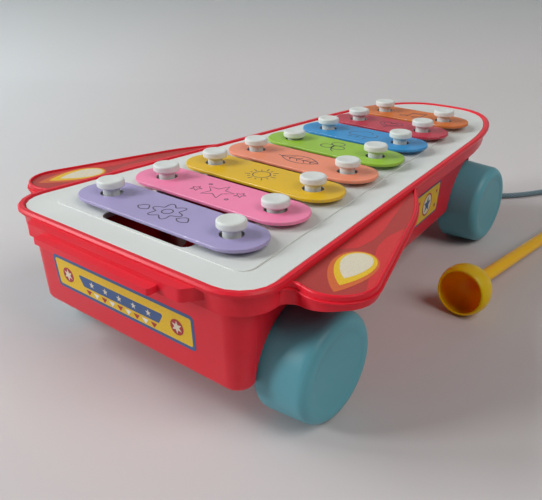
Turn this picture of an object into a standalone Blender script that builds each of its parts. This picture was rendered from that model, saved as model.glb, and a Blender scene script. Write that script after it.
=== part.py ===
"""Toy metallophone on wheels: a rocket-shaped cart with painted bars pegged loosely on a white deck.

Lengths are in metres. In the toy's own frame x runs across it, y from the tail rim to the nose, and z
up from the floor. An empty at the toy's datum carries that frame, so that the middle of the toy and its
mallet stands over the world's origin.
"""

import math

import bmesh
import bpy
from mathutils import Matrix, Vector

# Body plan, seen from above; the body is as long as its row of bars and its nose need
NOSE_ROOM = 0.0562
RIM_HALF_TAIL = 0.0750
SIDE_TAPER = math.radians(5.66)
TAIL_CORNER = 0.0180
NOSE_ROUND = 0.0863
NOSE_POWER = 2.8
MIN_CORNER = 0.0030

# Wheels and axles
WHEEL_RADIUS = 0.0250
WHEEL_WIDTH = 0.0250
WHEEL_DRAFT = 0.0010
WHEEL_EDGE = 0.0034
WHEEL_OUTER_EDGE = 0.0046
WHEEL_WALL = 0.0026
WHEEL_FACE_RING = 0.0032
WHEEL_HUB_RADIUS = 0.0062
TAIL_WHEEL_SINK = 0.0026
NOSE_WHEEL_SINK = 0.0039
TAIL_WHEEL_SLIDE = 0.00125
WHEEL_WELL_ROOM = 0.0015
WHEEL_WELL_GAP = 0.0008
WHEEL_WELL_WALL = 0.0020
AXLE_RADIUS = 0.0025
AXLE_TUNNEL_RADIUS = 0.0065
TAIL_AXLE_Y = 0.0433
NOSE_AXLE_FROM_TIP = 0.0553

# Upper frame: skirt, rim bead and the seat under the deck
WING_HEIGHT = 0.0060
RIM_OVER_WING = 0.0013
SKIRT_HEIGHT = 0.0108
SKIRT_INSET = 0.0029
SKIRT_LEAN = 0.0007
SKIRT_WALL = 0.0016
BEAD_HEIGHT = 0.0020
BEAD_EDGE = 0.0008
LIP_WIDTH = 0.0034
LIP_HEIGHT = 0.0007
SEAT_WIDTH = 0.0066
SEAT_THICKNESS = 0.0022

# Wings at the tail, measured out from the rim's side
WING_ROOT_TAIL_Y = 0.0285
WING_ROOT_NOSE_Y = 0.1500
WING_TIP_OUT = 0.0320
WING_TIP_Y = 0.0161
WING_TIP_RADIUS = 0.0110
WING_SHOULDER_OUT = 0.0068
WING_SHOULDER_Y = 0.1395
WING_SHOULDER_RADIUS = 0.0120
WING_ROOT_SINK = 0.0032
WING_WEB = 0.0200
WING_ROOT_FILLET = 0.0040
WING_SKIRT_INSET = 0.0014
WING_LIP = 0.0021
WING_PANEL_DEPTH = 0.0010
WING_WALL = 0.0020

# Stepped ledge across the tail
SHELF_HALF = 0.0460
SHELF_FLARE = 0.0060
SHELF_OUT = 0.0046
SHELF_CORNER = 0.0030
SHELF_THICKNESS = 0.0054
SHELF_BELOW_RIM = 0.0017
STEP_HALF = 0.0350
STEP_OUT = 0.0047
STEP_CORNER = 0.0012
STEP_DROP = 0.0019
STEP_THICKNESS = 0.0027

# Tub
TUB_CLEARANCE = 0.02285
TUB_HEIGHT = 0.0421
TUB_SIDE_INSET = 0.0084
TUB_TAIL_INSET = 0.0052
TUB_NOSE_INSET = 0.0095
TUB_DRAFT = 0.0026
TUB_WALL = 0.0022
TUB_BOTTOM_EDGE = 0.0026
FLANGE_THICKNESS = 0.0020

# Deck
DECK_THICKNESS = 0.0020
FIELD_HEIGHT = 0.0004
FIELD_TAIL_Y = 0.0165
FIELD_SIDE_INSET = 0.0150
FIELD_NOSE_GAP = 0.0180
FIELD_CORNER = 0.0060
SLOT_TAIL_Y = 0.0180
SLOT_NOSE_GAP = 0.0190
SLOT_CORNER = 0.0040
RIDGE_FROM_PEG = 0.0080
RIDGE_WIDTH = 0.0025
RIDGE_END_INSET = 0.0035
RIDGE_FROM_SLOT = 0.0018

# Bars, tuned to a major scale: a bar's length follows the square root of its note's period
BAR_NOTES = {
    "purple": 0, "pink": 2, "yellow": 4, "salmon": 5, "green": 7, "blue": 9, "crimson": 11, "orange": 12,
}
BAR_LENGTH = 0.1044
BAR_WIDTH = 0.0270
BAR_THICKNESS = 0.0016
BAR_PITCH = 0.0312
BAR_START_Y = 0.0337
BAR_OVER_DECK = 0.0027
BAR_HOLE_CLEARANCE = 0.0012

# Pegs
PEG_FROM_BAR_END = 0.0157
PEG_NECK_RADIUS = 0.0038
PEG_CAP_RADIUS = 0.00625
PEG_CAP_HEIGHT = 0.0033
PEG_CAP_EDGE = 0.0010
PEG_CAP_OVER_BAR = 0.0031
PEG_BARB_OVERHANG = 0.0006
PEG_BARB_HEIGHT = 0.0030
LOW_PEGS = {("green", "left"): 0.0020, ("pink", "right"): 0.0012}

# Housing screws, driven from below into posts under the deck
POST_AFTER_BARS = (2, 5, 8)
POST_RADIUS = 0.0040
POST_FROM_WALL = 0.0085
WELL_RADIUS = 0.0056
WELL_HEIGHT = 0.0062
SCREW_HEAD_RADIUS = 0.0033
SCREW_HEAD_HEIGHT = 0.0020
SCREW_SHANK_RADIUS = 0.0015
SCREW_LENGTH = 0.0140
SCREW_ROOM = 0.0006

# Mallet, one moulding with a hollow head, lying on the floor
MALLET_X = 0.0858
MALLET_Y = 0.1581
MALLET_TURN = math.radians(2.6)
MALLET_HEAD_RADIUS = 0.0137
MALLET_MOUTH = 0.0058
MALLET_WALL = 0.0017
MALLET_STICK_RADIUS = 0.0036
MALLET_NECK_RADIUS = 0.0051
MALLET_NECK_LENGTH = 0.0065
MALLET_STICK_END = 0.1520

# Pull cord; its route and its coil lie so far beyond the nose wall
CORD_RADIUS = 0.0019
CORD_HOLE_RADIUS = 0.0027
CORD_HEIGHT = 0.0340
CORD_ROUTE = (
    (0.0000, 0.0000, 0.0340), (0.0000, 0.0070, 0.0334), (0.0008, 0.0140, 0.0290), (0.0025, 0.0185, 0.0200),
    (0.0050, 0.0205, 0.0110), (0.0095, 0.0215, 0.0045), (0.0160, 0.0240, 0.0022), (0.0260, 0.0320, 0.0020),
    (0.0386, 0.0414, 0.0020), (0.0478, 0.0518, 0.0020), (0.0586, 0.0692, 0.0020), (0.0650, 0.0840, 0.0024),
)
COIL_X = 0.0930
COIL_BEYOND = 0.0990
COIL_RADIUS = 0.0200
COIL_TURNS = 2.5
COIL_CLIMB_TURN = 0.5
COIL_STEP = 0.0044
COIL_LOOP_POINTS = 24
COIL_EXIT_TURN = 0.25
TIE_THICKNESS = 0.0006
TIE_WIDTH = 0.0050
KNOT_RADIUS = 0.0036

# Running and seating gaps
GAP = 0.0003
END_PLAY = 0.0005

# Facets
CORNER_STEPS = 5
NOSE_STEPS = 12
ARC_STEPS = 6
WHEEL_STEPS = 32
WELL_STEPS = 40
PEG_STEPS = 14
HOLE_STEPS = 16
SCREW_STEPS = 10
MALLET_STEPS = 20

# Lengths that follow from the bars
RIM_LENGTH = BAR_START_Y + BAR_PITCH * (len(BAR_NOTES) - 1) + NOSE_ROOM
NOSE_AXLE_Y = RIM_LENGTH - NOSE_AXLE_FROM_TIP

# Heights that follow from the floor upwards
AXLE_Z = WHEEL_RADIUS
TUB_TOP = TUB_CLEARANCE + TUB_HEIGHT
SEAT_BOTTOM = TUB_TOP + GAP
SEAT_TOP = SEAT_BOTTOM + SEAT_THICKNESS
DECK_BOTTOM = SEAT_TOP + GAP
DECK_TOP = DECK_BOTTOM + DECK_THICKNESS
RIM_TOP = DECK_TOP + LIP_HEIGHT
SKIRT_BOTTOM = RIM_TOP - SKIRT_HEIGHT
WING_TOP = RIM_TOP - RIM_OVER_WING
WING_BASE = WING_TOP - WING_HEIGHT
BAR_BOTTOM = DECK_TOP + BAR_OVER_DECK
BAR_TOP = BAR_BOTTOM + BAR_THICKNESS
CAP_BOTTOM = BAR_TOP + PEG_CAP_OVER_BAR

# Widths that follow from the rim inwards
SKIRT_INNER = SKIRT_INSET + SKIRT_WALL
SEAT_INSET = LIP_WIDTH + SEAT_WIDTH
FLANGE_INSET = SKIRT_INNER + GAP
STEP_FRONT = SHELF_OUT + STEP_OUT
AXLES = (
    ("tail", TAIL_AXLE_Y, TAIL_WHEEL_SINK, TAIL_WHEEL_SLIDE),
    ("nose", NOSE_AXLE_Y, NOSE_WHEEL_SINK, 0.0),
)

COLOURS = {
    "red": ((0.66, 0.035, 0.055), 0.35, 0.0),
    "white": ((0.72, 0.74, 0.71), 0.45, 0.0),
    "teal": ((0.10, 0.30, 0.37), 0.45, 0.0),
    "yellow_plastic": ((0.85, 0.50, 0.01), 0.35, 0.0),
    "steel": ((0.62, 0.63, 0.65), 0.30, 1.0),
    "cord": ((0.16, 0.25, 0.29), 0.90, 0.0),
    "purple": ((0.38, 0.33, 0.57), 0.40, 0.0),
    "pink": ((0.86, 0.24, 0.40), 0.40, 0.0),
    "yellow": ((0.74, 0.48, 0.01), 0.40, 0.0),
    "salmon": ((0.80, 0.28, 0.18), 0.40, 0.0),
    "green": ((0.30, 0.52, 0.04), 0.40, 0.0),
    "blue": ((0.05, 0.27, 0.56), 0.40, 0.0),
    "crimson": ((0.52, 0.06, 0.09), 0.40, 0.0),
    "orange": ((0.62, 0.17, 0.03), 0.40, 0.0),
}


def clear_scene():
    """Removes whatever the scene holds."""
    for thing in list(bpy.data.objects):
        bpy.data.objects.remove(thing, do_unlink=True)


def new_collection(name):
    """A collection under the scene's own."""
    collection = bpy.data.collections.new(name)
    bpy.context.scene.collection.children.link(collection)
    return collection


def finish(name):
    """The Principled material of that name."""
    known = bpy.data.materials.get(name)
    if known:
        return known
    colour, roughness, metallic = COLOURS[name]
    material = bpy.data.materials.new(name)
    material.use_nodes = True
    shader = material.node_tree.nodes["Principled BSDF"]
    shader.inputs["Base Color"].default_value = (*colour, 1.0)
    shader.inputs["Roughness"].default_value = roughness
    shader.inputs["Metallic"].default_value = metallic
    return material


def place(name, data, parent, colour):
    """Puts mesh or curve data in the toy as a part with a finish, or as a tool where colour is None."""
    thing = bpy.data.objects.new(name, data)
    thing.parent = parent
    if colour is None:
        TOOLS.objects.link(thing)
        thing.hide_render = True
        thing.display_type = "WIRE"
        return thing
    PARTS.objects.link(thing)
    data.materials.append(finish(colour))
    return thing


def smooth(mesh):
    """Shades round faces smooth and keeps real edges sharp."""
    mesh.shade_smooth()
    mesh.set_sharp_from_angle(angle=math.radians(35))


def plan_half(y, side, nose):
    """Half the body's width at y, drawn in from the rim square to its sides and at its nose."""
    half = RIM_HALF_TAIL - side / math.cos(SIDE_TAPER) - math.tan(SIDE_TAPER) * y
    start = RIM_LENGTH - NOSE_ROUND
    share = min(max((y - start) / (NOSE_ROUND - nose), 0.0), 1.0)
    return half * (1 - share ** NOSE_POWER) ** (1 / NOSE_POWER)


def body_plan(side, tail, nose):
    """Plan of the body drawn in from the rim at its sides, tail and nose, anticlockwise from the tail."""
    corner = max(TAIL_CORNER - side, MIN_CORNER)
    centre_y = tail + corner
    centre_x = plan_half(centre_y, side + corner, nose)
    right = []
    for step in range(CORNER_STEPS + 1):
        angle = (math.pi / 2 + SIDE_TAPER) * step / CORNER_STEPS - math.pi / 2
        right.append((centre_x + corner * math.cos(angle), centre_y + corner * math.sin(angle)))
    start = RIM_LENGTH - NOSE_ROUND
    for step in range(NOSE_STEPS + 1):
        y = start + (NOSE_ROUND - nose) * math.sin(math.pi / 2 * step / NOSE_STEPS)
        right.append((plan_half(y, side, nose), y))
    return right + [(-x, y) for x, y in reversed(right[:-1])]


def even_plan(inset):
    """Plan of the body drawn in alike all round."""
    return body_plan(inset, inset, inset)


def circle(x, y, radius, steps=HOLE_STEPS):
    """Round outline."""
    turns = [2 * math.pi * step / steps for step in range(steps)]
    return [(x + radius * math.cos(turn), y + radius * math.sin(turn)) for turn in turns]


def rounded(corners):
    """Outline through corners given as (x, y, radius), each corner rounded by an arc."""
    outline = []
    for index, (x, y, radius) in enumerate(corners):
        here = Vector((x, y))
        back = (Vector(corners[index - 1][:2]) - here).normalized()
        ahead = (Vector(corners[(index + 1) % len(corners)][:2]) - here).normalized()
        if radius <= 0:
            outline.append((x, y))
            continue
        half = back.angle(ahead) / 2
        centre = here + (back + ahead).normalized() * radius / math.sin(half)
        first = here + back * radius / math.tan(half) - centre
        last = here + ahead * radius / math.tan(half) - centre
        turn = first.angle_signed(last)
        for step in range(ARC_STEPS + 1):
            spoke = first.copy()
            spoke.rotate(Matrix.Rotation(-turn * step / ARC_STEPS, 2))
            outline.append(tuple(centre + spoke))
    return outline


def drawn_in(corners, distance):
    """Moves every edge of an anticlockwise outline inwards, and its corner radii with it."""
    lines = []
    for (x0, y0, _), (x1, y1, _) in zip(corners, corners[1:] + corners[:1]):
        along = (Vector((x1, y1)) - Vector((x0, y0))).normalized()
        lines.append((Vector((x0, y0)) + Vector((-along.y, along.x)) * distance, along))
    result = []
    for index, (_, _, radius) in enumerate(corners):
        (p, u), (q, v) = lines[index - 1], lines[index]
        reach = (q - p).cross(v) / u.cross(v)
        point = p + u * reach
        closer = distance if u.cross(v) > 0 else -distance
        result.append((point.x, point.y, max(radius - closer, 0.0) if radius else 0.0))
    return result


def mirrored(outline):
    """The outline on the toy's other side, still anticlockwise."""
    return [(-x, y) for x, y in reversed(outline)]


def loft(name, rings, colour, closed=False):
    """Skins rings of equal count, each a plan and a height, and caps the stack unless it closes on itself."""
    shape = bmesh.new()
    loops = [[shape.verts.new((x, y, z)) for x, y in plan] for plan, z in rings]
    count = len(loops[0])
    pairs = list(zip(loops, loops[1:]))
    if closed:
        pairs.append((loops[-1], loops[0]))
    else:
        shape.faces.new(loops[0])
        shape.faces.new(loops[-1])
    for lower, upper in pairs:
        for index in range(count):
            beside = (index + 1) % count
            shape.faces.new((lower[index], lower[beside], upper[beside], upper[index]))
    bmesh.ops.recalc_face_normals(shape, faces=shape.faces)
    mesh = bpy.data.meshes.new(name)
    shape.to_mesh(mesh)
    shape.free()
    smooth(mesh)
    return place(name, mesh, TOY, colour)


def solid_from(curve_object):
    """Turns a curve object into a welded mesh object in the same place."""
    graph = bpy.context.evaluated_depsgraph_get()
    mesh = bpy.data.meshes.new_from_object(curve_object.evaluated_get(graph))
    shape = bmesh.new()
    shape.from_mesh(mesh)
    bmesh.ops.remove_doubles(shape, verts=shape.verts, dist=1e-6)
    shape.to_mesh(mesh)
    shape.free()
    smooth(mesh)
    thing = bpy.data.objects.new(curve_object.name, mesh)
    for collection in curve_object.users_collection:
        collection.objects.link(thing)
    thing.parent = curve_object.parent
    thing.matrix_world = curve_object.matrix_world
    thing.hide_render = curve_object.hide_render
    thing.display_type = curve_object.display_type
    name = curve_object.name
    bpy.data.objects.remove(curve_object, do_unlink=True)
    thing.name = name
    return thing


def plate(name, outlines, bottom, top, colour=None, parent=None):
    """Flat solids between two heights: nested outlines are holes, and separate ones are separate bodies."""
    curve = bpy.data.curves.new(name, "CURVE")
    curve.dimensions = "2D"
    curve.fill_mode = "BOTH"
    curve.extrude = (top - bottom) / 2
    for outline in outlines:
        spline = curve.splines.new("POLY")
        spline.points.add(len(outline) - 1)
        for point, (x, y) in zip(spline.points, outline):
            point.co = (x, y, 0.0, 1.0)
        spline.use_cyclic_u = True
    thing = place(name, curve, parent or TOY, colour)
    thing.location.z = (bottom + top) / 2
    bpy.context.view_layer.update()
    return solid_from(thing)


def rod(name, radius, ends, steps=HOLE_STEPS, colour=None):
    """Round bar between two points."""
    start, end = Vector(ends[0]), Vector(ends[1])
    shape = bmesh.new()
    bmesh.ops.create_cone(
        shape, cap_ends=True, segments=steps, radius1=radius, radius2=radius, depth=(end - start).length,
    )
    mesh = bpy.data.meshes.new(name)
    shape.to_mesh(mesh)
    shape.free()
    smooth(mesh)
    thing = place(name, mesh, TOY, colour)
    thing.location = (start + end) / 2
    thing.rotation_euler = (end - start).to_track_quat("Z", "Y").to_euler()
    return thing


def turned_mesh(name, profile):
    """Edge profile of (radius, height) points, run from the top down the outer side."""
    mesh = bpy.data.meshes.new(name)
    points = [(radius, 0.0, height) for radius, height in profile]
    mesh.from_pydata(points, [(index, index + 1) for index in range(len(points) - 1)], [])
    return mesh


def turned(name, mesh, steps, colour, parent):
    """Turns a profile about its own z axis."""
    thing = place(name, mesh, parent, None)
    TOOLS.objects.unlink(thing)
    PARTS.objects.link(thing)
    thing.hide_render = False
    thing.display_type = "TEXTURED"
    if not mesh.materials:
        mesh.materials.append(finish(colour))
    screw = thing.modifiers.new("turn", "SCREW")
    screw.axis = "Z"
    screw.steps = steps
    screw.render_steps = steps
    screw.use_merge_vertices = True
    screw.merge_threshold = 1e-6
    screw.use_smooth_shade = True
    return thing


def combine(target, tool, operation):
    """Adds a live Boolean."""
    modifier = target.modifiers.new(tool.name, "BOOLEAN")
    modifier.operation = operation
    modifier.object = tool


def frame_ring():
    """Profile of the upper frame, swept round the body: skirt, bead, lip and the seat for the deck."""
    bead_bottom = RIM_TOP - BEAD_HEIGHT
    skirt_top = SKIRT_INSET - SKIRT_LEAN
    profile = (
        (SKIRT_INSET, SKIRT_BOTTOM),
        (skirt_top, bead_bottom - GAP),
        (0.0, bead_bottom),
        (0.0, RIM_TOP - BEAD_EDGE),
        (BEAD_EDGE, RIM_TOP),
        (LIP_WIDTH - BEAD_EDGE, RIM_TOP),
        (LIP_WIDTH, RIM_TOP - BEAD_EDGE),
        (LIP_WIDTH, SEAT_TOP),
        (SEAT_INSET, SEAT_TOP),
        (SEAT_INSET, SEAT_BOTTOM),
        (SKIRT_INNER, SEAT_BOTTOM),
        (SKIRT_INNER, SKIRT_BOTTOM),
    )
    return loft("upper_frame", [(even_plan(inset), z) for inset, z in profile], "red", closed=True)


def wing_corners(extra=0.0):
    """Sharp corners and radii of the right wing, anticlockwise from its root, sunk by an extra depth."""
    def beside(y, out):
        return plan_half(y, 0.0, 0.0) + out
    sink = WING_ROOT_SINK + extra
    tail = WING_ROOT_TAIL_Y - 2 * WING_ROOT_FILLET * sink / WING_ROOT_SINK
    slope = (WING_ROOT_NOSE_Y - WING_SHOULDER_Y) / (WING_SHOULDER_OUT + WING_ROOT_SINK)
    nose = WING_SHOULDER_Y + slope * (WING_SHOULDER_OUT + sink)
    return [
        (beside(tail, -sink), tail, 0.0),
        (beside(WING_ROOT_TAIL_Y, 0.0), WING_ROOT_TAIL_Y, WING_ROOT_FILLET),
        (beside(WING_TIP_Y, WING_TIP_OUT), WING_TIP_Y, WING_TIP_RADIUS),
        (beside(WING_SHOULDER_Y, WING_SHOULDER_OUT), WING_SHOULDER_Y, WING_SHOULDER_RADIUS),
        (beside(nose, -sink), nose, 0.0),
    ]


def both_sides(corners):
    """A right-hand outline and its mirror image."""
    outline = rounded(corners)
    return [outline, mirrored(outline)]


def hang_root(wing):
    """Lets the foot of a wing's skirt down to the body's own skirt towards its root."""
    for vertex in wing.data.vertices:
        if vertex.co.z < WING_BASE + GAP:
            out = abs(vertex.co.x) - plan_half(vertex.co.y, 0.0, 0.0)
            share = min(max(1 - out / WING_WEB, 0.0), 1.0)
            vertex.co.z -= (WING_BASE - SKIRT_BOTTOM) * share


def make_wings():
    """Wings with a bead along the edge, a sunk panel on top and a hollow underside."""
    panel = WING_TOP - WING_PANEL_DEPTH
    bead_bottom = WING_TOP - BEAD_HEIGHT
    profile = (
        (WING_SKIRT_INSET, WING_BASE),
        (WING_SKIRT_INSET - SKIRT_LEAN, bead_bottom - GAP),
        (0.0, bead_bottom),
        (0.0, WING_TOP - BEAD_EDGE),
        (BEAD_EDGE, WING_TOP),
    )
    inside = WING_SKIRT_INSET + WING_WALL
    recess = plate("wing_panels", both_sides(drawn_in(wing_corners(WING_LIP), WING_LIP)), panel, RIM_TOP)
    hollow = plate("wing_hollows", both_sides(drawn_in(wing_corners(), inside)), SKIRT_BOTTOM - WING_WALL,
                   panel - WING_WALL)
    wings = []
    for side, turn in (("right", list), ("left", mirrored)):
        rings = [(turn(rounded(drawn_in(wing_corners(inset), inset))), z) for inset, z in profile]
        wing = loft(f"wing_{side}", rings, None)
        hang_root(wing)
        combine(wing, recess, "DIFFERENCE")
        combine(wing, hollow, "DIFFERENCE")
        wings.append(wing)
    return wings


def ledge_plan(half, out, corner, flare=0.0):
    """Plan of a ledge across the tail, rooted in the skirt's wall and wider there by a flare."""
    sunk = (SKIRT_INSET + SKIRT_INNER) / 2
    root = half + flare
    return rounded([(-root, sunk, 0.0), (-half, -out, corner), (half, -out, corner), (root, sunk, 0.0)])


def make_upper_frame():
    """Rim and skirt with the two wings and the stepped ledge at the tail."""
    frame = frame_ring()
    shelf_top = RIM_TOP - SHELF_BELOW_RIM
    shelf_plan = ledge_plan(SHELF_HALF, SHELF_OUT, SHELF_CORNER, SHELF_FLARE)
    shelf = plate("tail_shelf", [shelf_plan], shelf_top - SHELF_THICKNESS, shelf_top)
    step_top = shelf_top - STEP_DROP
    step = plate("tail_step", [ledge_plan(STEP_HALF, STEP_FRONT, STEP_CORNER)], step_top - STEP_THICKNESS, step_top)
    for tool in (*make_wings(), shelf, step):
        combine(frame, tool, "UNION")
    return frame


def tub_plan(extra):
    """Plan of the tub, drawn in further by extra."""
    return body_plan(TUB_SIDE_INSET + extra, TUB_TAIL_INSET + extra, TUB_NOSE_INSET + extra)


def tub_drawn_in(z):
    """How far the draft has drawn the tub's wall in at height z."""
    return TUB_DRAFT * (TUB_TOP - z) / (TUB_TOP - TUB_CLEARANCE)


def make_tub():
    """Drafted open box with a flange, wheel wells, axle tunnels, screw wells and the cord's hole."""
    floor_top = TUB_CLEARANCE + TUB_WALL
    edge_top = TUB_CLEARANCE + TUB_BOTTOM_EDGE
    chamfer = TUB_BOTTOM_EDGE * (1 - math.sqrt(0.5))
    flange_bottom = TUB_TOP - FLANGE_THICKNESS
    rings = [
        (tub_plan(tub_drawn_in(TUB_CLEARANCE) + TUB_BOTTOM_EDGE), TUB_CLEARANCE),
        (tub_plan(tub_drawn_in(TUB_CLEARANCE) + chamfer), TUB_CLEARANCE + chamfer),
        (tub_plan(tub_drawn_in(edge_top)), edge_top),
        (tub_plan(tub_drawn_in(flange_bottom)), flange_bottom),
        (even_plan(FLANGE_INSET), flange_bottom),
        (even_plan(FLANGE_INSET), TUB_TOP),
        (tub_plan(TUB_WALL), TUB_TOP),
        (tub_plan(tub_drawn_in(floor_top) + TUB_WALL), floor_top),
    ]
    tub = loft("tub", rings, "red")
    make_wheel_wells(tub)
    posts = post_places()
    wells = plate("wells", [circle(x, y, WELL_RADIUS) for x, y in posts], TUB_CLEARANCE + TUB_WALL / 2,
                  TUB_CLEARANCE + WELL_HEIGHT)
    combine(tub, wells, "UNION")
    head_room = SCREW_HEAD_RADIUS + SCREW_ROOM
    sinks = plate("well_sinks", [circle(x, y, head_room) for x, y in posts], 0.0, screw_seat())
    combine(tub, sinks, "DIFFERENCE")
    bores = plate("well_bores", [circle(x, y, SCREW_SHANK_RADIUS + GAP, 12) for x, y in posts], 0.0,
                  TUB_CLEARANCE + 2 * WELL_HEIGHT)
    combine(tub, bores, "DIFFERENCE")
    inside, outside = nose_wall()
    hole = rod("cord_hole", CORD_HOLE_RADIUS, (
        (0.0, inside - TUB_WALL, CORD_HEIGHT), (0.0, outside + TUB_WALL, CORD_HEIGHT),
    ))
    combine(tub, hole, "DIFFERENCE")
    return tub


def make_wheel_wells(tub):
    """Sinks the four wheels a little way into the tub's sides and carries their axles in tunnels."""
    low, high = TUB_CLEARANCE + TUB_WALL / 2, TUB_TOP - FLANGE_THICKNESS
    core = loft("tub_core", [(tub_plan(tub_drawn_in(z) + TUB_WALL / 2), z) for z in (low, high)], None)
    room = WHEEL_RADIUS + WHEEL_WELL_ROOM
    for end, y, sink, slide in AXLES:
        start = wheel_inner(y, sink) - WHEEL_WELL_GAP - slide
        for side, sign in (("left", -1), ("right", 1)):
            inner = (sign * (start - WHEEL_WELL_WALL), y, AXLE_Z)
            face = (sign * start, y, AXLE_Z)
            outer = (sign * (start + WHEEL_WIDTH), y, AXLE_Z)
            housing = rod(f"{end}_well_{side}", room + WHEEL_WELL_WALL, (inner, outer), WELL_STEPS)
            combine(housing, core, "INTERSECT")
            combine(tub, housing, "UNION")
            combine(tub, rod(f"{end}_well_room_{side}", room, (face, outer), WELL_STEPS), "DIFFERENCE")
        reach = wheel_inner(y, sink)
        bearing = reach - END_PLAY - slide
        tunnel = rod(f"{end}_tunnel", AXLE_TUNNEL_RADIUS, ((-bearing, y, AXLE_Z), (bearing, y, AXLE_Z)), 20)
        combine(tub, tunnel, "UNION")
        bore = rod(f"{end}_axle_bore", AXLE_RADIUS + GAP, ((-reach, y, AXLE_Z), (reach, y, AXLE_Z)))
        combine(tub, bore, "DIFFERENCE")


def nose_wall():
    """Where the tub's nose wall starts and ends on the cord's line."""
    outside = RIM_LENGTH - TUB_NOSE_INSET - tub_drawn_in(CORD_HEIGHT)
    return outside - TUB_WALL, outside


def wheel_inner(y, sink):
    """How far from the middle the wheels on the axle at y start, sunk into the tub's side."""
    return plan_half(y, TUB_SIDE_INSET + tub_drawn_in(AXLE_Z), TUB_NOSE_INSET) - sink


def bar_length(colour):
    """Length of a bar for its note."""
    return BAR_LENGTH * 2 ** (-BAR_NOTES[colour] / 24)


def bar_y(index):
    """Where a bar lies along the toy."""
    return BAR_START_Y + BAR_PITCH * index


def peg_x(colour):
    """How far a bar's pegs stand from the middle."""
    return bar_length(colour) / 2 - PEG_FROM_BAR_END


def peg_line(y, inwards):
    """The straight line along a row of pegs from the first to the last, moved inwards."""
    first, last = peg_x("purple"), peg_x("orange")
    share = (y - BAR_START_Y) / (bar_y(len(BAR_NOTES) - 1) - BAR_START_Y)
    return first + (last - first) * share - inwards


def post_places():
    """Where the deck's screw posts stand, on both sides."""
    inset = tub_drawn_in(TUB_CLEARANCE) + TUB_WALL + POST_FROM_WALL
    places = []
    for count in POST_AFTER_BARS:
        y = bar_y(count - 0.5)
        x = plan_half(y, TUB_SIDE_INSET + inset, TUB_NOSE_INSET + inset)
        places += [(-x, y), (x, y)]
    return places


def screw_seat():
    """Height of the ledge in a well that a screw's head bears on."""
    return TUB_CLEARANCE + WELL_HEIGHT - TUB_WALL


def strip(near_y, far_y, inner, outer):
    """A strip along the right-hand row of pegs, between two distances inwards of it."""
    return [
        (peg_line(near_y, inner), near_y), (peg_line(near_y, outer), near_y),
        (peg_line(far_y, outer), far_y), (peg_line(far_y, inner), far_y),
    ]


def make_deck():
    """White plate with a raised bar field, two ridges, the sound slot, peg holes and screw posts."""
    last_y = bar_y(len(BAR_NOTES) - 1)
    slot_nose = last_y + SLOT_NOSE_GAP
    field_nose = last_y + FIELD_NOSE_GAP + RIDGE_FROM_PEG
    deck = plate("deck", [even_plan(LIP_WIDTH + GAP)], DECK_BOTTOM, DECK_TOP, "white")
    field_tail_half = plan_half(FIELD_TAIL_Y, FIELD_SIDE_INSET, 0.0)
    field_nose_half = peg_line(field_nose, -RIDGE_FROM_PEG)
    field = plate("bar_field", [rounded([
        (-field_tail_half, FIELD_TAIL_Y, FIELD_CORNER), (field_tail_half, FIELD_TAIL_Y, FIELD_CORNER),
        (field_nose_half, field_nose, FIELD_CORNER), (-field_nose_half, field_nose, FIELD_CORNER),
    ])], DECK_BOTTOM + DECK_THICKNESS / 2, DECK_TOP + FIELD_HEIGHT)
    ridge_outer = RIDGE_FROM_PEG - RIDGE_WIDTH / 2
    ridge_inner = RIDGE_FROM_PEG + RIDGE_WIDTH / 2
    ridge_end = BAR_WIDTH / 2 - RIDGE_END_INSET
    ridge = strip(BAR_START_Y - ridge_end, last_y + ridge_end, ridge_inner, ridge_outer)
    ridges = plate("ridges", [ridge, mirrored(ridge)], DECK_BOTTOM + DECK_THICKNESS / 2, BAR_BOTTOM - GAP)
    posts = post_places()
    post_bottom = TUB_CLEARANCE + WELL_HEIGHT + GAP
    post_solids = plate("posts", [circle(x, y, POST_RADIUS) for x, y in posts], post_bottom,
                        DECK_BOTTOM + DECK_THICKNESS / 2)
    for tool in (field, ridges, post_solids):
        combine(deck, tool, "UNION")
    slot_from_peg = ridge_inner + RIDGE_FROM_SLOT
    slot_tail_half = peg_line(SLOT_TAIL_Y, slot_from_peg)
    slot_nose_half = peg_line(slot_nose, slot_from_peg)
    slot = rounded([
        (-slot_tail_half, SLOT_TAIL_Y, SLOT_CORNER), (slot_tail_half, SLOT_TAIL_Y, SLOT_CORNER),
        (slot_nose_half, slot_nose, SLOT_CORNER), (-slot_nose_half, slot_nose, SLOT_CORNER),
    ])
    holes = [slot]
    for index, colour in enumerate(BAR_NOTES):
        for sign in (-1, 1):
            holes.append(circle(sign * peg_x(colour), bar_y(index), PEG_NECK_RADIUS + GAP, PEG_STEPS))
    combine(deck, plate("deck_holes", holes, SEAT_BOTTOM, BAR_TOP), "DIFFERENCE")
    pilots = [circle(x, y, SCREW_SHANK_RADIUS + GAP, 12) for x, y in posts]
    pilot_top = screw_seat() + SCREW_LENGTH + GAP
    combine(deck, plate("pilot_holes", pilots, TUB_CLEARANCE, pilot_top), "DIFFERENCE")
    return deck


def make_bars():
    """Eight thin bars with round ends and two peg holes."""
    hole = PEG_NECK_RADIUS + BAR_HOLE_CLEARANCE
    for index, colour in enumerate(BAR_NOTES):
        half = bar_length(colour) / 2
        side = BAR_WIDTH / 2
        outline = rounded([
            (-half, -side, side - GAP / 2), (half, -side, side - GAP / 2),
            (half, side, side - GAP / 2), (-half, side, side - GAP / 2),
        ])
        outlines = [outline, circle(-peg_x(colour), 0.0, hole), circle(peg_x(colour), 0.0, hole)]
        bar = plate(f"bar_{colour}", outlines, BAR_BOTTOM, BAR_TOP, colour)
        bar.location.y = bar_y(index)


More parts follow.
